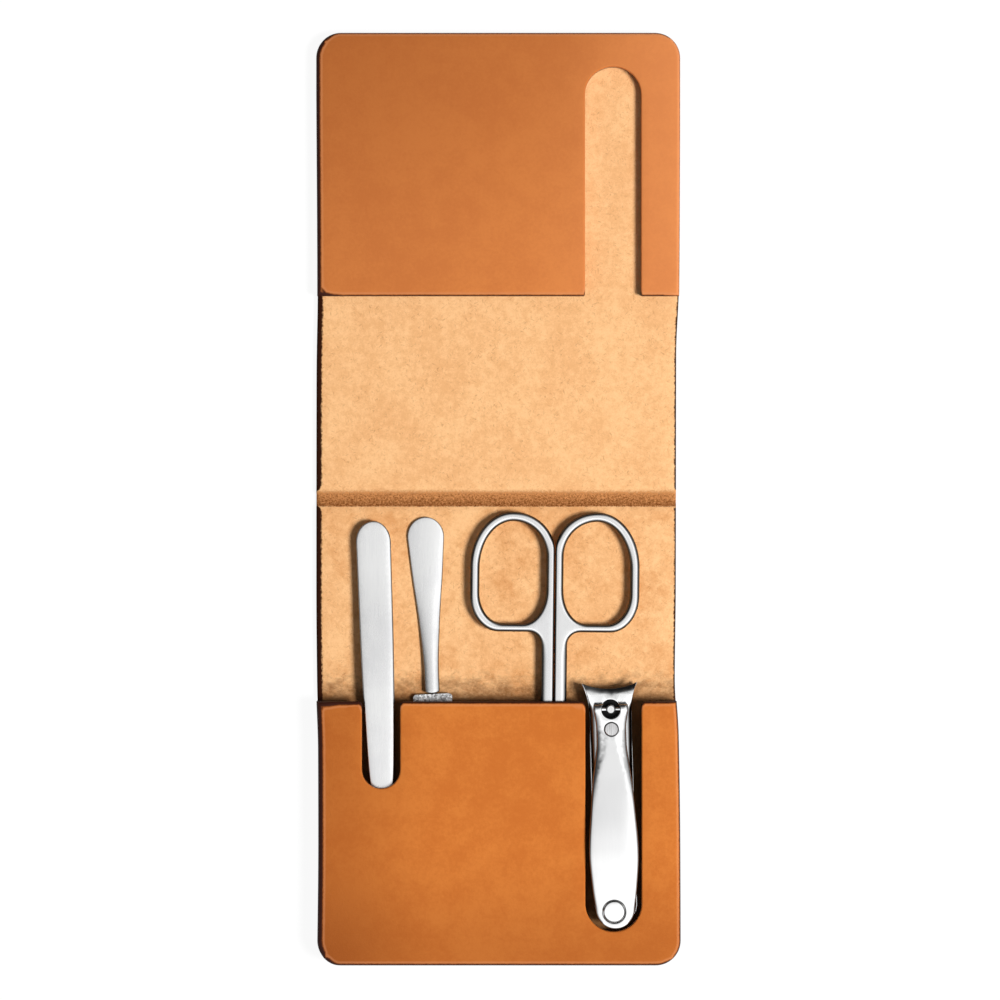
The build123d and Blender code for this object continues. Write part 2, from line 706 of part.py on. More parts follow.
with BuildPart() as clipper_lever:
    with BuildSketch(clipper_side):
        with BuildLine():
            crown = Spline(
                (0, bar_height + nose_radius),
                *[(along, bar_height + rise) for along, rise in lever_crown],
                (lever_tail, bar_height + lever_tail_rise),
                tangents=((1, 0), (1, 0)),
            )
            belly = Spline(
                (nose_radius, bar_height - lever_lip_drop),
                *[(along, bar_height + rise - lever_thickness) for along, rise in lever_crown],
                (lever_tail, bar_height + lever_tail_rise - lever_thickness),
            )
            Line(crown @ 1, belly @ 1)
            Polyline(belly @ 0, (0, bar_height), crown @ 0)
        make_face()
        with Locations((0, bar_height)):
            Circle(nose_radius)
    extrude(amount=blank_half_width, both=True)
    with BuildSketch(clipper_plan):
        with BuildLine():
            flank = Spline(
                (lever_nose_half_width, 0),
                *[(half, -along) for along, half in lever_half_widths],
                (lever_tail_half_width, -lever_tail + lever_tail_round),
                tangents=((0, -1), (0, -1)),
            )
            tail_end = EllipticalCenterArc(
                (0, -lever_tail + lever_tail_round),
                lever_tail_half_width,
                lever_tail_round,
                start_angle=270,
                arc_size=90,
            )
            front = Polyline(flank @ 0, (lever_nose_half_width, nose_radius), (0, nose_radius))
            mirror(flank, about=Plane.YZ)
            mirror(tail_end, about=Plane.YZ)
            mirror(front, about=Plane.YZ)
        make_face()
        Circle(lever_eye_radius, mode=Mode.SUBTRACT)
    extrude(amount=blank_height, mode=Mode.INTERSECT)
    # Cross bar through the eye.
    with BuildSketch(clipper_side):
        with Locations((0, bar_height)):
            Circle(bar_radius)
    extrude(amount=bar_half_length, both=True)
    # Pressed facets on both sides of the rib that starts at the stud.
    with Locations(facet_plane(1)):
        Box(2 * rib_far[0], facet_width, 2 * nose_radius, align=facet_align(1), mode=Mode.SUBTRACT)
    with Locations(facet_plane(-1)):
        Box(2 * rib_far[0], facet_width, 2 * nose_radius, align=facet_align(-1), mode=Mode.SUBTRACT)
    # Seats for the stud and the disc.
    with Locations(tool_plane(clipper_x, clipper_y, clipper_lean, bar_height - nose_radius)):
        with Locations((0, -stud_s)):
            post(stud_shank_radius + seat_play, blank_height, Mode.SUBTRACT)
    with Locations(tool_plane(clipper_x, clipper_y, clipper_lean, stud_face)):
        with Locations((0, -stud_s)):
            post(stud_radius + seat_play, blank_height, Mode.SUBTRACT)
    with Locations(tool_plane(clipper_x, clipper_y, clipper_lean, disc_seat)):
        with Locations((0, -disc_s)):
            post(disc_radius + seat_play, blank_height, Mode.SUBTRACT)
clipper_lever.part.label = "clipper_lever"
export_step(clipper_lever.part, "parts/clipper_lever.step")

with BuildPart() as clipper_fulcrum_stud:
    with Locations(tool_plane(clipper_x, clipper_y, clipper_lean, stud_base)):
        with Locations((0, -stud_s)):
            post(stud_shank_radius, stud_face - stud_base)
    with Locations(tool_plane(clipper_x, clipper_y, clipper_lean, stud_face)):
        with Locations((0, -stud_s)):
            post(stud_radius, stud_height)
    chamfer(clipper_fulcrum_stud.faces().sort_by(Axis.Z)[-1].edges(), stud_bevel)
clipper_fulcrum_stud.part.label = "clipper_fulcrum_stud"
export_step(clipper_fulcrum_stud.part, "parts/clipper_fulcrum_stud.step")

with BuildPart() as clipper_lever_disc:
    with Locations(tool_plane(clipper_x, clipper_y, clipper_lean, disc_seat)):
        with Locations((0, -disc_s)):
            post(disc_radius, disc_depth + disc_proud)
    chamfer(clipper_lever_disc.faces().sort_by(Axis.Z)[-1].edges(), disc_bevel)
clipper_lever_disc.part.label = "clipper_lever_disc"
export_step(clipper_lever_disc.part, "parts/clipper_lever_disc.step")
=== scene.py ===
import logging
from dataclasses import dataclass, field
from enum import Enum
from math import asin, cos, degrees, hypot, pi, radians, sin, sqrt, tan
from typing import Any, Callable

import bmesh
import bpy
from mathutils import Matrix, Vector, kdtree, noise
from mathutils.geometry import delaunay_2d_cdt


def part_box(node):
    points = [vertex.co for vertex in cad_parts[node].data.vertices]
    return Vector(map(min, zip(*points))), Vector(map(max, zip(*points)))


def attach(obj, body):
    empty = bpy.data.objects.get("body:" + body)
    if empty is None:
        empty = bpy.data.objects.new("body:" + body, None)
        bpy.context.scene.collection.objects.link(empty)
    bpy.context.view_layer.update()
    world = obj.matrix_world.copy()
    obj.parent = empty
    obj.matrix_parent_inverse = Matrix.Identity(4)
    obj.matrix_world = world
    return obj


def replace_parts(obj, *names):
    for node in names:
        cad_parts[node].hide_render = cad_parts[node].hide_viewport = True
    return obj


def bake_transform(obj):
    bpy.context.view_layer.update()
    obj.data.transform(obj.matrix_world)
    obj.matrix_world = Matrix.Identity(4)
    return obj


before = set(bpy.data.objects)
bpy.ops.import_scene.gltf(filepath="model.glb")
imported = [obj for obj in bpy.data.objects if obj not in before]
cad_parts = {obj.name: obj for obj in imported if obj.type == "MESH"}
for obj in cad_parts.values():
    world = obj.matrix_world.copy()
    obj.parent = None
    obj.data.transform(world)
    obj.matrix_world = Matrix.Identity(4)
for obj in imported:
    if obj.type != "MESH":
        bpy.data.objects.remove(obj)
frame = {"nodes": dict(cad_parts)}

# Manicure set case: a leather case that opens flat, with tweezers, a nail file, nail scissors and a
# nail clipper in its pocket. Sizes are in millimetres until a mesh is made, which is in metres.

log = logging.getLogger("manicure_case")

MM = 0.001
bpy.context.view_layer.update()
ON_SEAM = 1e-6  # millimetres within which a point counts as on a plate's seam
SLIVER = 1e-4  # a triangle thinner than this share of its longest side is no face
WELD = 1e-7  # metres within which two points of a mesh are one
CREASE = 50.0  # degrees above which an edge is shown sharp
SIDE_PAINT = 0.6  # how far edge paint covers a sheet's lower edge, at least
WHITE = (1.0, 1.0, 1.0, 1.0)
BLACK = (0.02, 0.02, 0.02, 1.0)

Point = tuple[float, float]
Loop = list[Point]
Surface = Callable[[float, float], float]
Colour = tuple[float, float, float, float]
Piece = bpy.types.Object
Material = bpy.types.Material
Socket = bpy.types.NodeSocket


# ---------------------------------------------------------------------------------------------
# Numbers and lines
# ---------------------------------------------------------------------------------------------


def ease(value: float, low: float = 0.0, high: float = 1.0) -> float:
    """Rises smoothly from 0 at low to 1 at high.

    Args:
        value: where it is read.
        low: the end where it is 0.
        high: the end where it is 1.

    Returns:
        A number from 0 to 1.
    """
    t = min(1.0, max(0.0, (value - low) / (high - low)))
    return t * t * (3 - 2 * t)


def colour(red: int, green: int, blue: int) -> Colour:
    """A colour as a shader takes it.

    Args:
        red: 0 to 255, as a screen shows it.
        green: the same.
        blue: the same.

    Returns:
        Linear red, green and blue, and alpha 1.
    """
    def straight(level: int) -> float:
        """One channel, made linear."""
        share = level / 255
        return share / 12.92 if share <= 0.04045 else ((share + 0.055) / 1.055) ** 2.4

    return straight(red), straight(green), straight(blue), 1.0


class Course:
    """A smooth run of one value along a piece, through a few stations, level beyond the ends."""

    def __init__(self, *stations: Point) -> None:
        """Sorts the stations and works out the slopes between them.

        Args:
            stations: pairs of position and value.
        """
        self.stations = sorted(stations)
        steps = [
            (b[1] - a[1]) / (b[0] - a[0])
            for a, b in zip(self.stations, self.stations[1:])
        ]
        self.slopes = [0.0]
        for before, after in zip(steps, steps[1:]):
            level = before * after <= 0
            self.slopes.append(0.0 if level else 2 * before * after / (before + after))
        self.slopes.append(0.0)
        if len(steps) > 1:
            self.slopes[0], self.slopes[-1] = steps[0], steps[-1]

    def __call__(self, at: float) -> float:
        """The value at a position."""
        first, last = self.stations[0], self.stations[-1]
        if at <= first[0]:
            return first[1]
        if at >= last[0]:
            return last[1]
        k = max(i for i, station in enumerate(self.stations[:-1]) if station[0] <= at)
        (x0, y0), (x1, y1) = self.stations[k], self.stations[k + 1]
        span = x1 - x0
        t = (at - x0) / span
        return (
            y0 * (2 * t**3 - 3 * t**2 + 1)
            + y1 * (3 * t**2 - 2 * t**3)
            + self.slopes[k] * span * (t**3 - 2 * t**2 + t)
            + self.slopes[k + 1] * span * (t**3 - t**2)
        )


def arc(centre: Point, radii: Point, start: float, turn: float, steps: int = 12) -> Loop:
    """Points along part of an ellipse.

    Args:
        centre: the ellipse's centre.
        radii: its half width and half height.
        start: the first point's angle in degrees.
        turn: how far the line goes round, in degrees, positive to the left.
        steps: how many pieces it is cut into.

    Returns:
        The points, both ends among them.
    """
    angles = [radians(start + turn * k / steps) for k in range(steps + 1)]
    return [(centre[0] + radii[0] * cos(a), centre[1] + radii[1] * sin(a)) for a in angles]


def hole(centre: Point, radius: float, steps: int) -> Loop:
    """A round hole's line, to the right, so that the material lies to its left."""
    return arc(centre, (radius, radius), 0, -360, steps)[:-1]


def mirrored(loop: Loop) -> Loop:
    """A line turned over about the tool's middle, still in the same order round the material."""
    return [(-x, y) for x, y in reversed(loop)]


def rounded_path(corners: list[tuple[float, float, float]]) -> Loop:
    """A closed line with straight sides and round corners.

    Args:
        corners: x, y and radius of each corner, in order to the left round the piece.

    Returns:
        The line's points.
    """
    points: Loop = []
    for k, (x, y, radius) in enumerate(corners):
        before = Vector(corners[k - 1][:2])
        after = Vector(corners[(k + 1) % len(corners)][:2])
        here = Vector((x, y))
        if radius <= 0:
            points.append((x, y))
            continue
        back, ahead = (before - here).normalized(), (after - here).normalized()
        reach = radius / tan(back.angle(ahead) / 2)
        start, end = here + back * reach, here + ahead * reach
        middle = here + (back + ahead).normalized() * hypot(reach, radius)
        turn = (start - middle).angle_signed(end - middle)
        steps = max(4, round(abs(turn) * radius / 0.6), round(abs(turn) / 0.13))
        for step in range(steps + 1):
            angle = -turn * step / steps
            spoke = start - middle
            points.append(
                (
                    middle.x + spoke.x * cos(angle) - spoke.y * sin(angle),
                    middle.y + spoke.x * sin(angle) + spoke.y * cos(angle),
                )
            )
    return points


def divided(loop: Loop, step: float | Callable[[float], float]) -> Loop:
    """Cuts a closed line's long sides into shorter ones.

    Args:
        loop: the line.
        step: the longest side allowed, or what gives it from y.

    Returns:
        The line with more points.
    """
    points: Loop = []
    for (x0, y0), (x1, y1) in zip(loop, loop[1:] + loop[:1]):
        length = hypot(x1 - x0, y1 - y0)
        if length < 1e-6:
            continue
        points.append((x0, y0))
        gone = 0.0
        while True:
            here = step(y0 + (y1 - y0) * gone / length) if callable(step) else step
            if gone + 1.5 * here > length:
                break
            gone += here
            points.append((x0 + (x1 - x0) * gone / length, y0 + (y1 - y0) * gone / length))
    return points


def inward(loop: Loop) -> list[Vector]:
    """The way into the material at each point, longer at a corner so that an offset is even."""
    normals = []
    count = len(loop)
    for k, (x, y) in enumerate(loop):
        x0, y0 = loop[k - 1]
        x1, y1 = loop[(k + 1) % count]
        before = Vector((-(y - y0), x - x0)).normalized()
        after = Vector((-(y1 - y), x1 - x)).normalized()
        middle = (before + after).normalized()
        normals.append(middle / max(0.5, middle.dot(before)))
    return normals


def inside(x: float, y: float, loop: Loop) -> bool:
    """Whether a point lies within a closed line."""
    found = False
    for (x0, y0), (x1, y1) in zip(loop, loop[1:] + loop[:1]):
        if (y0 > y) != (y1 > y) and x < (x1 - x0) * (y - y0) / (y1 - y0) + x0:
            found = not found
    return found


# ---------------------------------------------------------------------------------------------
# Meshes
# ---------------------------------------------------------------------------------------------


@dataclass(frozen=True)
class Edge:
    """How a plate's edge is rounded, and how far edge paint reaches over it."""

    width: float
    depth: float
    paint: float = 0.0


@dataclass(frozen=True)
class ToolFrame:
    """Where a tool lies: local x runs across it and local y from its far end to its near end."""

    x: float
    y: float
    lean: float

    def place(self, u: float, v: float, z: float) -> Vector:
        """A local point in the case's own frame, in metres."""
        c, s = cos(radians(self.lean)), sin(radians(self.lean))
        return Vector((self.x + u * c - v * s, self.y + u * s + v * c, z)) * MM


LEVEL = ToolFrame(0.0, 0.0, 0.0)


def smooth_mesh(name: str, vertices: list, faces: list) -> bpy.types.Mesh:
    """A mesh with smooth shading from points in metres and faces."""
    mesh = bpy.data.meshes.new(name)
    mesh.from_pydata(vertices, [], faces)
    mesh.polygons.foreach_set("use_smooth", [True] * len(faces))
    return mesh


def placed(data: bpy.types.ID) -> Piece:
    """An object in the scene for a mesh, a lamp or a camera, under its name."""
    made = bpy.data.objects.new(data.name, data)
    bpy.context.scene.collection.objects.link(made)
    return made


@dataclass
class Plate:
    """A plate with any outline, holes, rounded edges, and a shaped top and underside."""

    name: str
    outer: Loop
    top: Surface
    bottom: Surface
    holes: list[Loop] = field(default_factory=list)
    top_edge: Edge | Callable[[float, float], Edge] = Edge(0.3, 0.3)
    bottom_edge: Edge = Edge(0.2, 0.2)
    spacing: float = 2.5
    extra: Loop = field(default_factory=list)
    seam_y: float | None = None
    place: ToolFrame = LEVEL
    steps: int = 5

    def edge_at(self, x: float, y: float) -> Edge:
        """How the top's edge is rounded and painted at a point."""
        return self.top_edge(x, y) if callable(self.top_edge) else self.top_edge

    def on_seam(self, y: float) -> bool:
        """Whether a point of an outline lies where the plate joins another."""
        return self.seam_y is not None and abs(y - self.seam_y) < ON_SEAM

    def offset(self, loop: Loop, distances: list[float]) -> Loop:
        """Moves a line into the material; a point on the seam stays on the seam.

        Args:
            loop: the line.
            distances: how far each of its points moves.

        Returns:
            The moved line.
        """
        seam = [x for x, y in loop if self.on_seam(y)]
        moved = []
        for (x, y), way, far in zip(loop, inward(loop), distances):
            if self.on_seam(y):
                moved.append((min(max(x, min(seam) + far), max(seam) - far), y))
            else:
                moved.append((x + way.x * far, y + way.y * far))
        return moved

    def grid(self, loops: list[Loop]) -> Loop:
        """Points in the middle of the plate, clear of its edges."""
        xs = [x for x, _ in loops[0]]
        ys = [y for _, y in loops[0]]
        points: Loop = []
        rows = int((max(ys) - min(ys)) / self.spacing)
        columns = int((max(xs) - min(xs)) / self.spacing)
        for row in range(1, rows):
            y = min(ys) + (max(ys) - min(ys)) * row / rows
            shift = 0.25 if row % 2 else -0.25
            for column in range(1, columns):
                x = min(xs) + (max(xs) - min(xs)) * (column + shift) / columns
                points.append((x, y))
        points += self.extra
        near = self.spacing * 0.45
        border = []
        for loop in loops:
            for here, there in zip(loop, loop[1:] + loop[:1]):
                start, end = Vector(here), Vector(there)
                parts = 1 + int((end - start).length / (0.5 * near))
                border += [start.lerp(end, k / parts) for k in range(parts)]
        cells: dict[tuple[int, int], list[Vector]] = {}
        for p in border:
            cells.setdefault((int(p.x // near), int(p.y // near)), []).append(p)
        kept: Loop = []
        for x, y in points:
            cell = (int(x // near), int(y // near))
            close = any(
                (p - Vector((x, y))).length < near
                for i in (-1, 0, 1)
                for j in (-1, 0, 1)
                for p in cells.get((cell[0] + i, cell[1] + j), ())
            )
            if close or not inside(x, y, loops[0]):
                continue
            if any(inside(x, y, hole) for hole in loops[1:]):
                continue
            cells.setdefault(cell, []).append(Vector((x, y)))
            kept.append((x, y))
        return kept

    def triangles(self, loops: list[Loop], points: Loop) -> list[tuple[int, int, int]]:
        """Joins the edge lines and the points between them into triangles.

        Args:
            loops: the outer line and the holes' lines.
            points: the points between them.

        Returns:
            Three places each in the list of all the lines' points and then the others.
        """
        everything = [Vector(p) for loop in loops for p in loop] + [Vector(p) for p in points]
        edges, start = [], 0
        for loop in loops:
            count = len(loop)
            edges += [(start + k, start + (k + 1) % count) for k in range(count)]
            start += count
        made = delaunay_2d_cdt(everything, edges, [], 0, 1e-7)
        places = [owners[0] if owners else -1 for owners in made[3]]
        kept = []
        for face in made[2]:
            ends = [made[0][k] for k in face]
            x = sum(p.x for p in ends) / 3
            y = sum(p.y for p in ends) / 3
            if not inside(x, y, loops[0]) or any(inside(x, y, hole) for hole in loops[1:]):
                continue
            a, b, c = ends
            longest = max((b - a).length_squared, (c - a).length_squared, (c - b).length_squared)
            if abs((b - a).cross(c - a)) < SLIVER * longest:
                continue
            found = tuple(places[k] for k in face)
            if -1 not in found:
                kept.append(found)
        return kept

    def border(self) -> tuple[kdtree.KDTree, list[tuple[Vector, Vector, Vector, float]]]:
        """The points of the plate's lines, with their neighbours and edge paint, for rim_at."""
        items = []
        for line in [self.outer] + self.holes:
            ends = [Vector((x, y, 0)) for x, y in line]
            for k, here in enumerate(ends):
                paint = self.edge_at(here.x, here.y).paint
                items.append((ends[k - 1], here, ends[(k + 1) % len(ends)], paint))
        tree = kdtree.KDTree(len(items))
        for k, item in enumerate(items):
            tree.insert(item[1], k)
        tree.balance()
        return tree, items

    def rim_at(self, x: float, y: float, border: tuple) -> float:
        """How far a point is from the edge paint.

        Args:
            x: the point.
            y: the same.
            border: what border gives.

        Returns:
            Its distance from the nearest edge, less that edge's paint.
        """
        tree, items = border
        place = Vector((x, y, 0))
        before, here, after, paint = items[tree.find(place)[1]]
        found = (place - here).length
        for other in (before, after):
            side = other - here
            share = (place - here).dot(side) / side.length_squared
            if 0 < share < 1:
                found = min(found, (place - here - side * share).length)
        return found - paint

    def build(self) -> Piece:
        """Makes the plate, with its distance from the edge and its flat place at each point."""
        vertices: list[tuple[float, float, float]] = []
        rims: list[float] = []
        faces: list[tuple[int, ...]] = []
        skins: list[int] = []
        lines = [self.outer] + self.holes
        top_lines, bottom_lines, top_starts, bottom_starts = [], [], [], []
        border = self.border()

        def ring(line: Loop, heights: list[float], depths: list[float]) -> int:
            """Adds one closed row of points and returns where it starts."""
            start = len(vertices)
            vertices.extend((x, y, z) for (x, y), z in zip(line, heights))
            rims.extend(depths)
            return start

        for line in lines:
            count = len(line)
            rule = [self.edge_at(x, y) for x, y in line]
            under = [
                edge.paint if self.on_seam(y) else max(edge.paint, SIDE_PAINT)
                for edge, (_, y) in zip(rule, line)
            ]
            starts = []
            low = self.bottom_edge
            for k in range(self.steps):
                a = pi / 2 * k / (self.steps - 1)
                moved = self.offset(line, [low.width * (1 - sin(a))] * count)
                heights = [self.bottom(x, y) + low.depth * (1 - cos(a)) for x, y in moved]
                depths = [low.width * (1 - sin(a)) - paint for paint in under]
                starts.append(ring(moved, heights, depths))
                if k == 0:
                    bottom_lines.append(moved)
                    bottom_starts.append(starts[0])
            for k in range(self.steps + 1):
                a = pi / 2 * k / self.steps
                far = [edge.width * (1 - cos(a)) for edge in rule]
                moved = self.offset(line, far)
                heights = [
                    self.top(x, y) - edge.depth * (1 - sin(a))
                    for (x, y), edge in zip(moved, rule)
                ]
                depths = [d - edge.paint for d, edge in zip(far, rule)]
                starts.append(ring(moved, heights, depths))
            top_lines.append(moved)
            top_starts.append(starts[-1])
            for row, (low_start, high_start) in enumerate(zip(starts, starts[1:])):
                for k in range(count):
                    n = (k + 1) % count
                    faces.append((low_start + k, low_start + n, high_start + n, high_start + k))
                    skins.append(1 if row < self.steps - 1 else 0)

        for ends, starts, surface, skin in (
            (top_lines, top_starts, self.top, 0),
            (bottom_lines, bottom_starts, self.bottom, 1),
        ):
            points = self.grid(ends)
            first = len(vertices)
            vertices.extend((x, y, surface(x, y)) for x, y in points)
            rims.extend(self.rim_at(x, y, border) for x, y in points)
            where = [s + k for s, line in zip(starts, ends) for k in range(len(line))]
            where += [first + k for k in range(len(points))]
            for a, b, c in self.triangles(ends, points):
                face = (where[a], where[b], where[c])
                faces.append(face if skin == 0 else face[::-1])
                skins.append(skin)

        mesh = smooth_mesh(self.name, [self.place.place(*v) for v in vertices], faces)
        mesh.attributes.new("rim", "FLOAT", "POINT").data.foreach_set("value", rims)
        flat = [axis for v in vertices for axis in v]
        mesh.attributes.new("flat", "FLOAT_VECTOR", "POINT").data.foreach_set("vector", flat)
        mesh.polygons.foreach_set("material_index", skins)
        shell = bmesh.new()
        shell.from_mesh(mesh)
        bmesh.ops.remove_doubles(shell, verts=shell.verts[:], dist=WELD)
        bmesh.ops.dissolve_degenerate(shell, edges=shell.edges[:], dist=WELD / 10)
        shell.to_mesh(mesh)
        shell.free()
        mesh.update()
        mesh.set_sharp_from_angle(angle=radians(CREASE))
        return placed(mesh)


def dress(piece: Piece, *materials: Material) -> Piece:
    """Gives a piece its materials, the top's first.

    Args:
        piece: the piece.
        materials: one for all of it, or one for its top and one for its underside.

    Returns:
        The piece.
    """
    for k in range(2):
        piece.data.materials.append(materials[min(k, len(materials) - 1)])
    return piece


# ---------------------------------------------------------------------------------------------
# Finishes
# ---------------------------------------------------------------------------------------------


class Graph:
    """A node tree that is being wired."""

    def __init__(self, tree: bpy.types.NodeTree) -> None:
        """Starts from an empty tree."""
        self.tree = tree
        tree.nodes.clear()

    def node(self, kind: str, inputs: dict | None = None, **settings: Any) -> bpy.types.Node:
        """Adds a node.

        Args:
            kind: its type.
            inputs: what goes into its sockets by name or number, a value or another node's output.
            settings: its own options.

        Returns:
            The node.
        """
        made = self.tree.nodes.new(kind)
        for name, value in settings.items():
            setattr(made, name, value)
        for name, value in (inputs or {}).items():
            if isinstance(value, Socket):
                self.tree.links.new(value, made.inputs[name])
            else:
                made.inputs[name].default_value = value
        return made

    def maths(self, operation: str, *values: Any) -> Socket:
        """One sum on numbers or outputs."""
        return self.node("ShaderNodeMath", dict(enumerate(values)), operation=operation).outputs[0]

    def add(self, *values: Any) -> Socket:
        """All the values added up."""
        total = values[0]
        for value in values[1:]:
            total = self.maths("ADD", total, value)
        return total

    def times(self, *values: Any) -> Socket:
        """All the values multiplied."""
        total = values[0]
        for value in values[1:]:
            total = self.maths("MULTIPLY", total, value)
        return total

    def blend(self, share: Any, first: Any, second: Any) -> Socket:
        """Mixes two colours by a share."""
        inputs = {0: share, 6: first, 7: second}
        return self.node("ShaderNodeMix", inputs, data_type="RGBA").outputs[2]

    def band(
        self, value: Any, low: float, high: float, start: float = 0.0, end: float = 1.0
    ) -> Socket:
        """Maps a value smoothly from one range to another."""
        inputs = {0: value, 1: low, 2: high, 3: start, 4: end}
        return self.node("ShaderNodeMapRange", inputs, interpolation_type="SMOOTHSTEP").outputs[0]

    def noise(self, place: Any, scale: float, detail: float = 2.0, rough: float = 0.5) -> Socket:
        """Soft noise from 0 to 1 at a place."""
        inputs = {"Vector": place, "Scale": scale, "Detail": detail, "Roughness": rough}
        return self.node("ShaderNodeTexNoise", inputs).outputs[0]

    def turned(self, place: Any, angle: float, scale: tuple[float, float, float]) -> Socket:
        """A place turned about Z by an angle in degrees and then stretched."""
        inputs = {"Vector": place, "Rotation": (0.0, 0.0, radians(angle))}
        turned = self.node("ShaderNodeMapping", inputs).outputs[0]
        return self.node("ShaderNodeMapping", {"Vector": turned, "Scale": scale}).outputs[0]

    def flat(self) -> Socket:
        """A piece's own place in millimetres, as stored on its points."""
        return self.node("ShaderNodeAttribute", attribute_name="flat").outputs["Vector"]

    def coordinate(self, kind: str) -> Socket:
        """One of the usual coordinates."""
        return self.node("ShaderNodeTexCoord").outputs[kind]

    def axes(self, place: Any) -> Any:
        """A vector's three numbers."""
        return self.node("ShaderNodeSeparateXYZ", {0: place}).outputs

    def bump(self, height: Any, strength: float, distance: float) -> Socket:
        """The normal of a surface with small relief."""
        inputs = {"Strength": strength, "Distance": distance, "Height": height}
        return self.node("ShaderNodeBump", inputs).outputs[0]

    def choose(self, share: Any, first: Any, second: Any) -> Socket:
        """Mixes two shaders by a share."""
        return self.node("ShaderNodeMixShader", {0: share, 1: first, 2: second}).outputs[0]

    def give(self, end: bpy.types.Node, **values: Any) -> None:
        """Links outputs to the sockets of a group's output node by name."""
        for name, value in values.items():
            self.tree.links.new(value, end.inputs[name])


class Effect(Enum):
    """The shared surface effects, by the names of their node groups."""

    NAP = "suede_nap"
    GRAIN = "tanned_grain"
    PAINT = "edge_paint"
    SATIN = "satin_brushing"


def group(effect: Effect, inputs: dict, outputs: tuple[str, ...]) -> tuple[Graph, Any, Any]:
    """Starts a shared effect's node group.

    Args:
        effect: which effect.
        inputs: its number inputs and their usual values.
        outputs: its number outputs.

    Returns:
        The graph, the group's input node and its output node.
    """
    tree = bpy.data.node_groups.new(effect.value, "ShaderNodeTree")
    for name, usual in inputs.items():
        socket = tree.interface.new_socket(name=name, in_out="INPUT", socket_type="NodeSocketFloat")
        socket.default_value = usual
    for name in outputs:
        tree.interface.new_socket(name=name, in_out="OUTPUT", socket_type="NodeSocketFloat")
    graph = Graph(tree)
    return graph, graph.node("NodeGroupInput"), graph.node("NodeGroupOutput")


def make_nap() -> None:
    """Suede nap: loose fibres, specks and soft clouds over leather's flesh side."""
    graph, given, made = group(Effect.NAP, {"Speck Amount": 1.0}, ("Tone", "Specks", "Height"))
    place = graph.flat()
    clouds = graph.band(graph.noise(place, 0.09, 3.0), 0.3, 0.7, -0.4, 0.4)
    mottle = graph.band(graph.noise(place, 0.5, 4.0, 0.65), 0.28, 0.72, -0.5, 0.5)
    fine = graph.band(graph.noise(place, 2.2, 4.0, 0.8), 0.3, 0.7, -0.5, 0.5)
    strokes = 0.0
    for angle in (24.0, 78.0, 141.0):
        long = graph.noise(graph.turned(place, angle, (0.55, 2.4, 1.0)), 1.0, 2.0, 0.6)
        strokes = graph.maths("MAXIMUM", strokes, graph.band(long, 0.6, 0.74))
    where = graph.band(graph.noise(place, 0.28, 3.0, 0.6), 0.38, 0.62)
    grains = graph.band(graph.noise(place, 1.3, 3.0, 0.7), 0.6, 0.74)
    gathered = graph.add(0.3, graph.times(where, 0.7))
    specks = graph.times(graph.maths("MAXIMUM", strokes, grains), gathered)
    height = graph.maths("SUBTRACT", graph.noise(place, 1.7, 5.0, 0.75), graph.times(specks, 0.25))
    tone = graph.add(clouds, mottle, fine)
    specks = graph.times(specks, given.outputs["Speck Amount"])
    graph.give(made, Tone=tone, Specks=specks, Height=height)


def make_grain() -> None:
    """Tanned grain: fine pores and creases, and soft clouds where the dye took unevenly."""
    graph, given, made = group(Effect.GRAIN, {"Pore Depth": 0.5}, ("Tone", "Height"))
    place = graph.flat()
    clouds = graph.band(graph.noise(place, 0.05, 4.0, 0.55), 0.3, 0.7, -0.5, 0.5)
    patches = graph.band(graph.noise(place, 0.22, 3.0, 0.6), 0.3, 0.7, -0.35, 0.35)
    creases = graph.noise(place, 1.1, 5.0, 0.7)
    cells = graph.node("ShaderNodeTexVoronoi", {"Vector": place, "Scale": 1.7}, feature="F1")
    height = graph.add(graph.times(cells.outputs["Distance"], given.outputs["Pore Depth"]), creases)
    tone = graph.add(clouds, patches, graph.band(creases, 0.3, 0.7, -0.4, 0.4))
    graph.give(made, Tone=tone, Height=height)


def make_paint_and_shade() -> None:
    """Edge paint: a mask that ends in a ragged line and also carries painted shade where its reach
    is wider, and the pale line beside it, partly burnished and partly a painted highlight on the
    rounded edge.
    """
    graph, given, made = group(Effect.PAINT, {"Raggedness": 0.3}, ("Paint", "Burnish"))
    rim = graph.node("ShaderNodeAttribute", attribute_name="rim").outputs["Fac"]
    wander = graph.maths("SUBTRACT", graph.noise(graph.flat(), 1.4, 3.0, 0.6), 0.5)
    rim = graph.add(rim, graph.times(wander, given.outputs["Raggedness"]))
    # The pale line beside the paint: partly burnished leather, partly a painted highlight on the
    # rounded edge.
    burnish_highlight_mask = graph.times(graph.band(rim, 0.0, 0.2), graph.band(rim, 0.3, 0.8, 1.0, 0.0))
    graph.give(made, Paint=graph.band(rim, -0.3, 0.22, 1.0, 0.0), Burnish=burnish_highlight_mask)


def make_satin() -> None:
    """Satin brushing: fine streaks along a tool, and soft patches of hand marks."""
    graph, given, made = group(Effect.SATIN, {"Streak": 1.0}, ("Tone", "Height"))
    place = graph.coordinate("Object")
    along = graph.turned(place, 0.0, (7000.0, 200.0, 7000.0))
    streaks = graph.noise(along, 1.0, 3.0, 0.6)
    patches = graph.band(graph.noise(place, 90.0, 3.0, 0.55), 0.3, 0.7, -0.5, 0.5)
    tone = graph.add(graph.band(streaks, 0.25, 0.75, -0.5, 0.5), patches)
    graph.give(made, Tone=graph.times(tone, given.outputs["Streak"]), Height=streaks)


def empty_material(name: str) -> tuple[Material, Graph]:
    """A material without nodes, and its graph."""
    material = bpy.data.materials.new(name)
    material.use_nodes = True
    return material, Graph(material.node_tree)


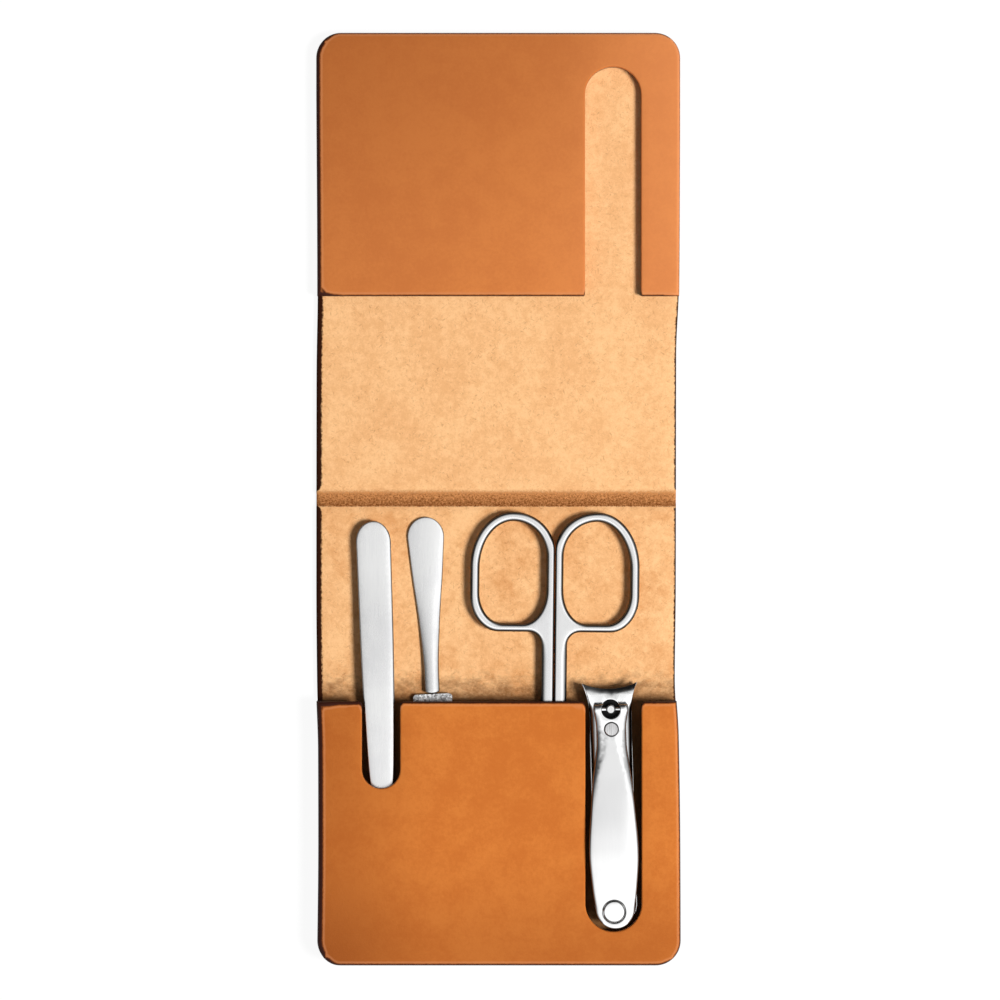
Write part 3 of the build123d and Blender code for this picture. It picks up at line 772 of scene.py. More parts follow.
@dataclass(frozen=True)
class Finish:
    """What every finish has: a material's name, and how its shader is filled in."""

    name: str

    def inputs(self, graph: Graph) -> dict[str, Any]:
        """Wires the finish and gives what goes into the shader's sockets."""
        raise NotImplementedError

    def material(self) -> Material:
        """The finish as a material."""
        material, graph = empty_material(self.name)
        shader = graph.node("ShaderNodeBsdfPrincipled", self.inputs(graph))
        graph.node("ShaderNodeOutputMaterial", {"Surface": shader.outputs[0]})
        return material

    def effect(self, graph: Graph, effect: Effect, **values: float) -> bpy.types.Node:
        """Places a shared effect in the material with its own values."""
        made = graph.node("ShaderNodeGroup", node_tree=bpy.data.node_groups[effect.value])
        for name, value in values.items():
            made.inputs[name.replace("_", " ")].default_value = value
        return made


@dataclass(frozen=True)
class Suede(Finish):
    """Leather's flesh side: pale nap, brown in the skived groove, and dark above the pocket's
    mouth, partly rubbed and partly painted shade.
    """

    body: Colour = colour(255, 201, 144)
    deep: Colour = colour(229, 164, 106)
    speck: Colour = colour(178, 108, 58)
    skived: Colour = colour(218, 150, 92)
    skived_deep: Colour = colour(122, 66, 28)
    # Dark above the pocket's mouth: partly rubbed leather, partly painted shade.
    rubbed: Colour = colour(108, 66, 32)
    paint: Colour = colour(52, 24, 12)
    groove_half: float = 2.0
    mouth: float = 50.0
    rub_reach: float = 9.0
    rub_share: float = 0.82

    def inputs(self, graph: Graph) -> dict[str, Any]:
        """Wires the finish."""
        nap = self.effect(graph, Effect.NAP, Speck_Amount=1.0)
        paint = self.effect(graph, Effect.PAINT, Raggedness=1.0)
        place = graph.flat()
        along = graph.axes(place)[1]
        tone = graph.band(nap.outputs["Tone"], -0.9, 0.9)
        handled = graph.band(along, -4.0, 2.0, 1.0, 0.0)
        clouds = graph.band(graph.noise(place, 0.16, 5.0, 0.7), 0.42, 0.68)
        blotch = graph.times(clouds, handled, 0.5)
        base = graph.blend(graph.add(graph.times(tone, 0.6), blotch), self.body, self.deep)
        base = graph.blend(graph.times(nap.outputs["Specks"], 0.5), base, self.speck)

        fibres = graph.noise(place, 2.3, 5.0, 0.85)
        ragged = graph.band(fibres, 0.3, 0.7, -0.5, 0.5)
        rise = graph.add(along, graph.times(ragged, 1.1))
        edge = self.groove_half
        upper = graph.band(rise, edge - 0.7, edge + 0.1, 1.0, 0.0)
        fall = graph.add(along, graph.times(ragged, 0.35))
        groove = graph.times(upper, graph.band(fall, -edge - 0.15, -edge + 0.2))
        shade = graph.band(graph.add(fibres, graph.times(along, -0.03)), 0.38, 0.66)
        skived = graph.blend(shade, self.skived, self.skived_deep)
        base = graph.blend(groove, base, skived)

        # Darker above the pocket's mouth: partly rubbed, partly painted shade.
        strokes = graph.noise(graph.turned(place, 0.0, (0.3, 0.45, 1.0)), 1.0, 5.0, 0.75)
        smear = graph.band(strokes, 0.3, 0.7, -0.5, 0.5)
        above = graph.add(along, self.mouth, graph.times(smear, 4.0))
        worn = graph.maths("POWER", graph.band(above, -0.5, self.rub_reach, 1.0, 0.0), 1.25)
        below_fold = graph.band(along, -0.9 * self.mouth, -0.6 * self.mouth, 1.0, 0.0)
        worn = graph.times(worn, below_fold, self.rub_share)
        base = graph.blend(worn, base, self.rubbed)
        # Edge paint, which also stands for painted shade on the left edges.
        base = graph.blend(paint.outputs["Paint"], base, self.paint)
        height = graph.add(nap.outputs["Height"], graph.times(groove, fibres, 2.5))
        normal = graph.bump(height, 0.5, 0.00025)
        return {"Base Color": base, "Roughness": 0.95, "Normal": normal, "Specular IOR Level": 0.1}


@dataclass(frozen=True)
class Tanned(Finish):
    """Leather's grain side: smooth and waxed, with painted shade towards its left side and ends, a
    painted sheen on the flap, strongest on its right, and dark edge paint.
    """

    body: Colour = colour(222, 131, 58)
    deep: Colour = colour(206, 114, 47)
    # The next two are painted light: a shaded tone and a lamp-lit sheen of the leather's colour.
    stained: Colour = colour(150, 78, 30)
    faded: Colour = colour(224, 144, 92)
    # Pale edge line colour: partly burnished, partly a painted highlight.
    burnished: Colour = colour(222, 150, 104)
    paint: Colour = colour(54, 22, 12)

    def stain(self, graph: Graph) -> tuple[Socket, Socket]:
        """Painted shade where the sheets are darker to the left, at the flap's top-left and at the
        pocket's far end, and a painted sheen of the lamp over the flap, strongest on its right.

        Args:
            graph: the material's graph.

        Returns:
            The share of painted shade and the share of painted sheen.
        """
        across, along, _ = graph.axes(graph.flat())
        left = graph.times(across, -1.0)
        flap = graph.band(along, -10.0, 10.0)
        low = graph.band(along, -116.0, -84.0, 0.36, 0.0)
        pocket = graph.add(0.16, low, graph.times(graph.band(left, 12.0, 44.0), 0.42))
        overlay = graph.band(left, -48.0, 52.0, 0.0, 0.3)
        far = graph.times(graph.band(along, 48.0, 116.0, 0.0, 0.34), graph.band(left, -46.0, -14.0))
        front = graph.times(pocket, graph.maths("SUBTRACT", 1.0, flap))
        dark = graph.add(front, graph.times(graph.add(overlay, far), flap))
        return dark, graph.times(flap, graph.band(left, -45.0, 0.0, 0.55, 0.32))

    def inputs(self, graph: Graph) -> dict[str, Any]:
        """Wires the finish."""
        grain = self.effect(graph, Effect.GRAIN, Pore_Depth=0.5)
        paint = self.effect(graph, Effect.PAINT, Raggedness=0.25)
        tone = graph.band(grain.outputs["Tone"], -0.9, 0.9)
        base = graph.blend(graph.times(tone, 0.9), self.body, self.deep)
        dark, faded = self.stain(graph)
        # Painted sheen on the flap and painted shade to the left and at the ends.
        base = graph.blend(faded, base, self.faded)
        base = graph.blend(dark, base, self.stained)
        # Pale line at the paint's edge: partly burnished, partly a painted highlight.
        base = graph.blend(graph.times(paint.outputs["Burnish"], 0.3), base, self.burnished)
        # Edge paint, which also stands for painted shade on the left edges.
        base = graph.blend(paint.outputs["Paint"], base, self.paint)
        rough = graph.add(0.5, graph.times(grain.outputs["Tone"], 0.04))
        normal = graph.bump(grain.outputs["Height"], 0.3, 0.0001)
        return {"Base Color": base, "Roughness": rough, "Normal": normal, "Specular IOR Level": 0.2}


@dataclass(frozen=True)
class Steel(Finish):
    """Stainless steel, satin or polished, with steep faces darkened as a painted dark reflection.
    """

    body: Colour = (0.86, 0.86, 0.855, 1.0)
    dull: Colour = (0.78, 0.78, 0.785, 1.0)
    roughness: float = 0.27
    streak: float = 1.0
    # The next two set how strongly and from which slope steep faces are darkened: a painted dark
    # reflection.
    flank: float = 0.6
    steep: float = 0.6
    # Where painted shade darkens a recess: centre x and y, radius and height.
    grime: tuple[float, float, float, float] | None = None

    def grimed(self, graph: Graph) -> Socket:
        """How much painted shade darkens a place, in the recess round an axis and under a height.
        """
        x, y, radius, height = (value * MM for value in self.grime)
        place = graph.axes(graph.coordinate("Object"))
        across, along = graph.maths("SUBTRACT", place[0], x), graph.maths("SUBTRACT", place[1], y)
        square = graph.add(graph.times(across, across), graph.times(along, along))
        away = graph.maths("SQRT", square)
        near = graph.band(away, 0.8 * radius, radius, 1.0, 0.0)
        return graph.times(near, graph.band(place[2], height - 0.3 * MM, height, 1.0, 0.0))

    def inputs(self, graph: Graph) -> dict[str, Any]:
        """Wires the finish."""
        satin = self.effect(graph, Effect.SATIN, Streak=self.streak)
        base = graph.blend(graph.band(satin.outputs["Tone"], -0.8, 0.8), self.body, self.dull)
        upright = graph.maths("ABSOLUTE", graph.axes(graph.coordinate("Normal"))[2])
        # Painted dark reflection: steep faces darken towards black, in place of the dark
        # surroundings they would mirror.
        base = graph.blend(graph.band(upright, self.steep, 1.0, self.flank, 0.0), base, BLACK)
        # Painted shade in the recess round the clipper's pin.
        if self.grime:
            base = graph.blend(self.grimed(graph), base, BLACK)
        rough = graph.add(self.roughness, graph.times(satin.outputs["Tone"], 0.05))
        normal = graph.bump(satin.outputs["Height"], 0.08, 0.00002)
        shine = {"Metallic": 1.0, "Specular Tint": (0.3, 0.3, 0.3, 1.0)}
        return shine | {"Base Color": base, "Roughness": rough, "Normal": normal}


@dataclass(frozen=True)
class Grit(Finish):
    """Abrasive grit bonded to steel: pale grey, with bright and dark grains."""

    body: Colour = (0.55, 0.55, 0.55, 1.0)
    bright: Colour = (0.95, 0.95, 0.95, 1.0)
    dark: Colour = (0.16, 0.15, 0.15, 1.0)
    grain: float = 2600.0

    def inputs(self, graph: Graph) -> dict[str, Any]:
        """Wires the finish."""
        inputs = {"Vector": graph.coordinate("Object"), "Scale": self.grain}
        cells = graph.node("ShaderNodeTexVoronoi", inputs, feature="F1")
        tint = graph.node("ShaderNodeSeparateColor", {0: cells.outputs["Color"]}).outputs[0]
        base = graph.blend(graph.band(tint, 0.1, 0.3, 0.8, 0.0), self.body, self.dark)
        base = graph.blend(graph.band(tint, 0.6, 0.85), base, self.bright)
        normal = graph.bump(tint, 0.5, 0.0001)
        return {"Base Color": base, "Metallic": 0.4, "Roughness": 0.45, "Normal": normal}


# ---------------------------------------------------------------------------------------------
# The leather case
# ---------------------------------------------------------------------------------------------


@dataclass
class LeatherCase:
    """The cover, the overlay on its flap, and the pocket."""

    width: float = 90.0
    half_length: float = 115.0
    corner: float = 6.2
    cover: float = 2.0
    mouth: float = 50.0
    lip: float = 1.0
    clipper_slot: tuple[float, float, float] = (28.4, 13.8, 106.6)
    tweezers_slot: tuple[float, float, float] = (-28.8, 9.4, 71.4)
    spacer_side: float = 5.5
    spacer_end: float = 5.0
    spacer_corner: float = 4.0
    groove_half: float = 2.0
    groove_depth: float = 0.9
    fold_at: float = 3.7
    bend_half: float = 3.0
    paint: float = 0.55
    # The next three are painted light: they widen the dark edge band as painted shade on the left
    # side and at the left end of the pocket's mouth, and narrow it on the lit right side.
    left_paint: float = 0.75
    right_paint: float = 0.15
    mouth_paint: float = 0.35
    cover_round: Point = (0.9, 0.75)
    slot_round: Point = (0.45, 0.4)
    pocket_roll: Point = (1.2, 0.35)
    overlay_roll: Point = (1.0, 0.0)
    swell: float = 0.05
    swell_length: float = 24.0
    left_trim: Course = Course(
        (-115, 0.45), (-85, 0.75), (-62, 0.7), (-46, 0.2),
        (-22, 0.0), (30, 0.05), (52, 0.35), (100, 0.1),
    )
    right_trim: Course = Course(
        (-115, 0.0), (-85, 0.1), (-58, 0.5), (-45, 1.2),
        (-22, 0.95), (36, 0.85), (52, 0.2), (90, 0.0),
    )

    def trimmed(self, loop: Loop) -> Loop:
        """Moves the long sides in, as far as each was trimmed by hand.

        Args:
            loop: the outline with straight sides.

        Returns:
            The outline with the real, slightly wavy sides.
        """
        half = self.width / 2
        moved = []
        for x, y in loop:
            left = self.left_trim(y) * ease(-x, half - 6, half)
            right = self.right_trim(y) * ease(x, half - 6, half)
            moved.append((x + left - right, y))
        return moved

    def step(self, y: float) -> float:
        """How long the sides of an outline may be at y: short across the groove and the bends."""
        return 0.45 if abs(y) < 3 else 0.8 if abs(y) < 8 else 2.2

    def half_sheet(self, near: float, sign: float, cuts: list[tuple[float, float, float]]) -> Loop:
        """The outline of a sheet from y = near to one end of the case.

        Args:
            near: how far its near edge is from the fold.
            sign: 1 for the flap's side and -1 for the pocket's.
            cuts: slots open to the near edge, each as x, width and end.

        Returns:
            The outline's points, to the left round the sheet.
        """
        half = self.width / 2
        lip = self.lip if sign < 0 else self.lip / 2
        path = [(half, -near, 0.0)]
        for x, width, end in sorted(cuts, reverse=True):
            right, left = x + width / 2, x - width / 2
            path += [(right, -near, lip), (right, -end, width / 2 - 0.001)]
            path += [(left, -end, width / 2 - 0.001), (left, -near, lip)]
        path += [(-half, -near, 0.0), (-half, -self.half_length, self.corner)]
        path += [(half, -self.half_length, self.corner)]
        loop = divided(rounded_path(path), self.step)
        if sign > 0:
            loop = [(x, -y) for x, y in reversed(loop)]
        return self.trimmed(loop)

    def outer_edge(self, x: float, y: float) -> float:
        """1 on the case's own sides and ends, 0 along the mouths and the slots."""
        side = ease(abs(x), self.width / 2 - 3.0, self.width / 2 - 1.4)
        return max(side, ease(abs(y), self.half_length - 3, self.half_length - 1))

    def edge_paint(self, x: float, y: float) -> float:
        """How far the edge paint reaches over a sheet's top: further on the left, where the extra
        reach is painted shade on the shaded rounded edge, and less on the lit right side.
        """
        half = self.width / 2
        left = ease(-x, half - 6, half - 1)
        right = ease(x, half - 4, half - 1)
        return self.paint + self.left_paint * left - self.right_paint * right

    def relief(self, x: float, y: float) -> float:
        """How a flat-laid leather surface swells and dips."""
        place = Vector((x / self.swell_length, y / self.swell_length, 3.1))
        return self.swell * noise.noise(place)

    def groove(self, x: float, y: float) -> float:
        """How deep the skived groove is at a point, with its torn floor."""
        if abs(y) > self.groove_half + 0.9:
            return 0.0
        torn = noise.noise(Vector((x * 1.1, y * 1.4, 0.5)))
        torn += 0.6 * noise.noise(Vector((x * 2.6, y * 2.6, 7.0)))
        wall = 0.18 * noise.noise(Vector((x * 0.8, 5.0, 0.0)))
        upper = 1 - ease(y + wall, self.groove_half - 1.2, self.groove_half + 0.2)
        lower = 1 - ease(-y + 0.5 * wall, self.groove_half - 0.35, self.groove_half + 0.1)
        return upper * lower * (self.groove_depth * (0.85 + 0.15 * cos(y)) + 0.16 * torn)

    def cover_half(self, sign: float) -> Piece:
        """One half of the cover, from the middle of the groove to its end.

        Args:
            sign: 1 for the flap and -1 for the base.

        Returns:
            The piece.
        """
        half = self.width / 2
        groove_rows = [(0.35 * k, 200) for k in range(1, 8)]
        bend_rows = [(3.0 + 0.75 * k, 70) for k in range(8)]
        fine = [
            (-half + 2 + (self.width - 4) * k / count, sign * y)
            for y, count in groove_rows + bend_rows
            for k in range(count + 1)
        ]

        def edge(x: float, y: float) -> Edge:
            """Round and painted, with the paint worn off at the fold."""
            worn = 1 - ease(abs(y), 1.3, 2.6)
            paint = (self.edge_paint(x, y) + 0.1) * (1 - worn) - 0.5 * worn
            width, depth = self.cover_round
            return Edge(width, depth - 0.33 * worn, paint)

        def top(x: float, y: float) -> float:
            """The inner face, with the skived groove and a slight swell beyond it."""
            return self.cover - self.groove(x, y) + self.relief(x, y) * ease(abs(y), 4, 12) * 0.5

        plate = Plate(
            name="cover_base_leather" if sign < 0 else "cover_flap_leather",
            outer=self.half_sheet(0.0, sign, []),
            top=top,
            bottom=lambda x, y: 0.0,
            top_edge=edge,
            bottom_edge=Edge(0.6, 0.6),
            extra=fine,
            seam_y=0.0,
        )
        return plate.build()

    def top_sheet(self, name: str, node: str, sign: float, cuts: list) -> Piece:
        """The overlay or the pocket's front.

        Args:
            name: the piece's name.
            node: the node whose height it takes.
            sign: 1 for the overlay and -1 for the pocket's front.
            cuts: its slots.

        Returns:
            The piece.
        """
        low, high = (corner.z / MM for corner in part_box(node))
        roll, mouth_roll = self.pocket_roll if sign < 0 else self.overlay_roll
        slot_width, slot_depth = self.slot_round

        def edge(x: float, y: float) -> Edge:
            """Full and round on the outside, crisp at the slots and the mouth."""
            outer = self.outer_edge(x, y)
            slot = ease(abs(y), self.mouth + 0.5, self.mouth + 2.4) * (1 - outer)
            mouth = (1 - outer) * (1 - slot)
            width = slot_width + (roll - slot_width) * outer + mouth_roll * mouth
            depth = slot_depth + (0.9 * roll - slot_depth) * outer
            # Painted shade: the dark band at the pocket's mouth is wider at its left end.
            strip = self.mouth_paint * ease(-x, 33, 35) * mouth if sign < 0 else -0.25
            paint = self.edge_paint(x, y) + strip
            return Edge(width, depth, paint * (1 - slot) - 0.8 * slot)

        plate = Plate(
            name=name,
            outer=self.half_sheet(self.mouth, sign, cuts),
            top=lambda x, y: high - 0.04 + self.relief(x, y),
            bottom=lambda x, y: low,
            top_edge=edge,
            bottom_edge=Edge(0.05, 0.05),
        )
        return plate.build()

    def spacer(self) -> Piece:
        """The U-shaped sheet between the base and the pocket's front."""
        half, side = self.width / 2, self.width / 2 - self.spacer_side
        end = self.half_length - self.spacer_end
        path = [
            (half, -self.mouth, 0.0),
            (side, -self.mouth, 0.0),
            (side, -end, self.spacer_corner),
            (-side, -end, self.spacer_corner),
            (-side, -self.mouth, 0.0),
            (-half, -self.mouth, 0.0),
            (-half, -self.half_length, self.corner),
            (half, -self.half_length, self.corner),
        ]
        low, high = (corner.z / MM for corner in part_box("pocket_spacer"))
        plate = Plate(
            name="pocket_spacer_leather",
            outer=self.trimmed(divided(rounded_path(path), self.step)),
            top=lambda x, y: high,
            bottom=lambda x, y: low,
            top_edge=Edge(0.05, 0.05, 1.0),
            bottom_edge=Edge(0.05, 0.05),
            spacing=4.0,
        )
        return plate.build()

    def build(self, suede: Material, tanned: Material) -> None:
        """Makes and dresses all the leather.

        Args:
            suede: the flesh side's material.
            tanned: the grain side's material.
        """
        base, flap = self.cover_half(-1), self.cover_half(1)
        for piece in (base, flap):
            dress(piece, suede, tanned)
        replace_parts(base, "base_panel", "fold_strip")
        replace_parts(flap, "flap_panel")
        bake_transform(base)
        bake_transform(flap)
        report(base, flap)

        overlay = self.top_sheet("flap_overlay_leather", "flap_overlay", 1, [self.clipper_slot])
        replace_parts(dress(overlay, tanned), "flap_overlay")
        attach(overlay, "flap")
        cuts = [self.clipper_slot, self.tweezers_slot]
        front = self.top_sheet("pocket_front_leather", "pocket_front", -1, cuts)
        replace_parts(dress(front, tanned), "pocket_front")
        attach(front, "base")
        spacer = self.spacer()
        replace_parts(dress(spacer, tanned), "pocket_spacer")
        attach(spacer, "base")
        report(overlay, front, spacer)


def report(*pieces: Piece) -> None:
    """Logs each finished piece and its size in millimetres."""
    for piece in pieces:
        size = [round(side / MM, 1) for side in piece.dimensions]
        log.info("%s: %s mm, %d faces", piece.name, size, len(piece.data.polygons))


# ---------------------------------------------------------------------------------------------
# The tools
# ---------------------------------------------------------------------------------------------


def strip_outline(half_width: Course, length: float, near_round: float, far_round: float) -> Loop:
    """The outline of a long thin piece, to the left, with elliptical ends.

    Args:
        half_width: half its width from the distance along it.
        length: how long it is.
        near_round: how long its near end's curve is.
        far_round: the same for its far end, or 0 for a square end.

    Returns:
        The outline's points; y is 0 at the near end and falls along the piece.
    """
    near, far = half_width(near_round), half_width(length - far_round)
    right = arc((0, -near_round), (near, near_round), 90, -90, 14)
    count = max(2, int((length - near_round - far_round) / 0.9))
    for k in range(1, count):
        s = near_round + (length - near_round - far_round) * k / count
        right.append((half_width(s), -s))
    end = (0, far_round - length)
    right += arc(end, (far, far_round), 0, -90, 12) if far_round else [(far, -length)]
    left = [(-x, y) for x, y in reversed(right) if x > 1e-6]
    return (right + left)[::-1]


@dataclass
class Tweezers:
    """Two bowed arms, welded at the near end."""

    frame: ToolFrame = ToolFrame(-30.95, -5.6, 2.04)
    middle: float = 3.9
    length: float = 88.0
    weld: float = 12.0
    belly: float = 42.0
    weld_half: float = 1.0
    bow: float = 0.85
    tip_fall: float = 0.1
    thickness: float = 0.8
    near_round: float = 5.2
    half_width: Course = Course((5.2, 4.3), (29.5, 4.1), (54.0, 3.5), (75.0, 2.4), (88.0, 1.6))
    crown: float = 0.16
    tip_half_width: float = 1.6
    tip_slant: float = 25.0

    def outer(self, s: float) -> float:
        """How far an arm's outer face is from the middle, at s along the tool."""
        if s < self.belly:
            return self.weld_half + self.bow * ease(s, self.weld, self.belly)
        fall = self.tip_fall * (s - self.belly) / (self.length - self.belly)
        return self.weld_half + self.bow - fall

    def inner(self, s: float) -> float:
        """How far an arm's inner face is from the middle."""
        if s < self.belly:
            return 0.01 + (self.outer(s) - self.weld_half) * 1.05 / self.bow
        return self.outer(s) - self.thickness

    def arm_outline(self) -> Loop:
        """An arm's outline, with its tip cut off aslant."""
        slant = tan(radians(self.tip_slant))

        def cut(x: float) -> Point:
            """The point of the cut at x."""
            return (x, -self.length + (x + self.tip_half_width) * slant)

        loop = strip_outline(self.half_width, self.length, self.near_round, 0)
        loop = [point for point in loop if point[1] > cut(point[0])[1] + 0.4]
        k = max(range(len(loop)), key=lambda k: abs(loop[k][0] - loop[k - 1][0]))
        side = -1 if loop[k - 1][0] < 0 else 1
        tip = [cut(way * self.tip_half_width) for way in (side, -side)]
        return loop[:k] + tip + loop[k:]

    def arm(self, name: str, side: float) -> Piece:
        """One arm.

        Args:
            name: the piece's name.
            side: 1 for the front arm and -1 for the back one.

        Returns:
            The piece.
        """
        loop = self.arm_outline()

        def outside(x: float, y: float) -> float:
            """The outer face, crowned across."""
            share = min(1.0, abs(x) / self.half_width(-y))
            return self.middle + side * (self.outer(-y) - self.crown * share**3.5)

        def within(x: float, y: float) -> float:
            """The inner face."""
            return self.middle + side * self.inner(-y)

        full, crisp = Edge(0.4, 0.35), Edge(0.1, 0.1)
        plate = Plate(
            name=name,
            outer=divided(loop, 0.9),
            top=outside if side > 0 else within,
            bottom=within if side > 0 else outside,
            top_edge=full if side > 0 else crisp,
            bottom_edge=crisp if side > 0 else full,
            spacing=0.9,
            place=self.frame,
        )
        return plate.build()

    def build(self, steel: Material) -> None:
        """Makes both arms."""
        front = self.arm("tweezers_front", 1)
        back = self.arm("tweezers_back", -1)
        for piece, node in ((front, "tweezers_front_arm"), (back, "tweezers_back_arm")):
            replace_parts(dress(piece, steel), node)
        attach(back, "tweezers")
        start = self.frame.place(0, -self.weld + 4, self.middle)
        end = self.frame.place(0, -self.weld - 14, self.middle)
        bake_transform(front)
        report(front, back)


@dataclass
class NailFile:
    """A spoon-ended handle with a flat grit-coated blade."""

    frame: ToolFrame = ToolFrame(-18.1, -4.6, 2.5)
    bottom: float = 2.05
    handle: float = 43.6
    near_round: float = 4.9
    half_width: Course = Course((4.9, 4.55), (14.0, 3.8), (26.0, 2.6), (38.0, 1.85), (43.6, 1.8))
    rise: Course = Course((0.0, 0.85), (18.0, 0.95), (29.0, 1.2), (43.6, 2.0))
    crown: Course = Course((0.0, 0.2), (14.0, 0.32), (26.0, 0.45), (43.6, 0.5))
    blade_start: float = 43.75
    blade_end: float = 97.4
    blade_half: float = 4.85
    blade_shoulder: float = 0.9
    blade_point: float = 16.0
    blade_low: float = 2.6
    blade_high: float = 3.45

    def handle_piece(self) -> Piece:
        """The handle."""

        def face(x: float, y: float) -> float:
            """The handle's crowned face."""
            share = min(1.0, abs(x) / self.half_width(-y))
            return self.bottom + self.rise(-y) - self.crown(-y) * share**2.2

        outline = strip_outline(self.half_width, self.handle, self.near_round, 0.7)
        return Plate(
            name="file_handle_steel",
            outer=divided(outline, 0.8),
            top=face,
            bottom=lambda x, y: self.bottom,
            top_edge=Edge(0.35, 0.25),
            bottom_edge=Edge(0.12, 0.12),
            spacing=0.8,
            place=self.frame,
        ).build()

    def blade_piece(self) -> Piece:
        """The blade, with the coarse grit that stands up from its faces."""
        half, start, end = self.blade_half, -self.blade_start, -self.blade_end
        path = [
            (half, start, self.blade_shoulder),
            (-half, start, self.blade_shoulder),
            (-half, end + self.blade_point, 4.0),
            (0.0, end, 1.5),
            (half, end + self.blade_point, 4.0),
        ]

        def grit(x: float, y: float) -> float:
            """The coarse face."""
            return self.blade_high + 0.05 * (noise.noise(Vector((x * 3, y * 3, 2.0))) - 1)

        return Plate(
            name="file_blade_grit",
            outer=divided(rounded_path(path), 0.9),
            top=grit,
            bottom=lambda x, y: self.blade_low,
            top_edge=Edge(0.15, 0.15),
            bottom_edge=Edge(0.1, 0.1),
            spacing=0.7,
            place=self.frame,
        ).build()

    def build(self, steel: Material, grit: Material) -> None:
        """Makes the handle and the blade."""
        handle, blade = self.handle_piece(), self.blade_piece()
        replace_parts(dress(handle, steel), "file_handle")
        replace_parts(dress(blade, grit), "file_blade")
        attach(handle, "file")
        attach(blade, "file")
        report(handle, blade)


def dress_node(node: str, material: Material, bevel: float = 0.08) -> None:
    """Gives a node of the frame its material and softens its sharp edges.

    Args:
        node: the node's name.
        material: its finish.
        bevel: how wide its edges are rounded, in millimetres.
    """
    piece = frame["nodes"][node]
    piece.data.materials.clear()
    piece.data.materials.append(material)
    soft = piece.modifiers.new("soft_edges", "BEVEL")
    soft.width = bevel * MM
    soft.segments = 2
    soft.limit_method = "ANGLE"
    soft.angle_limit = radians(40)
    soft.harden_normals = True
    log.info("%s: dressed", node)


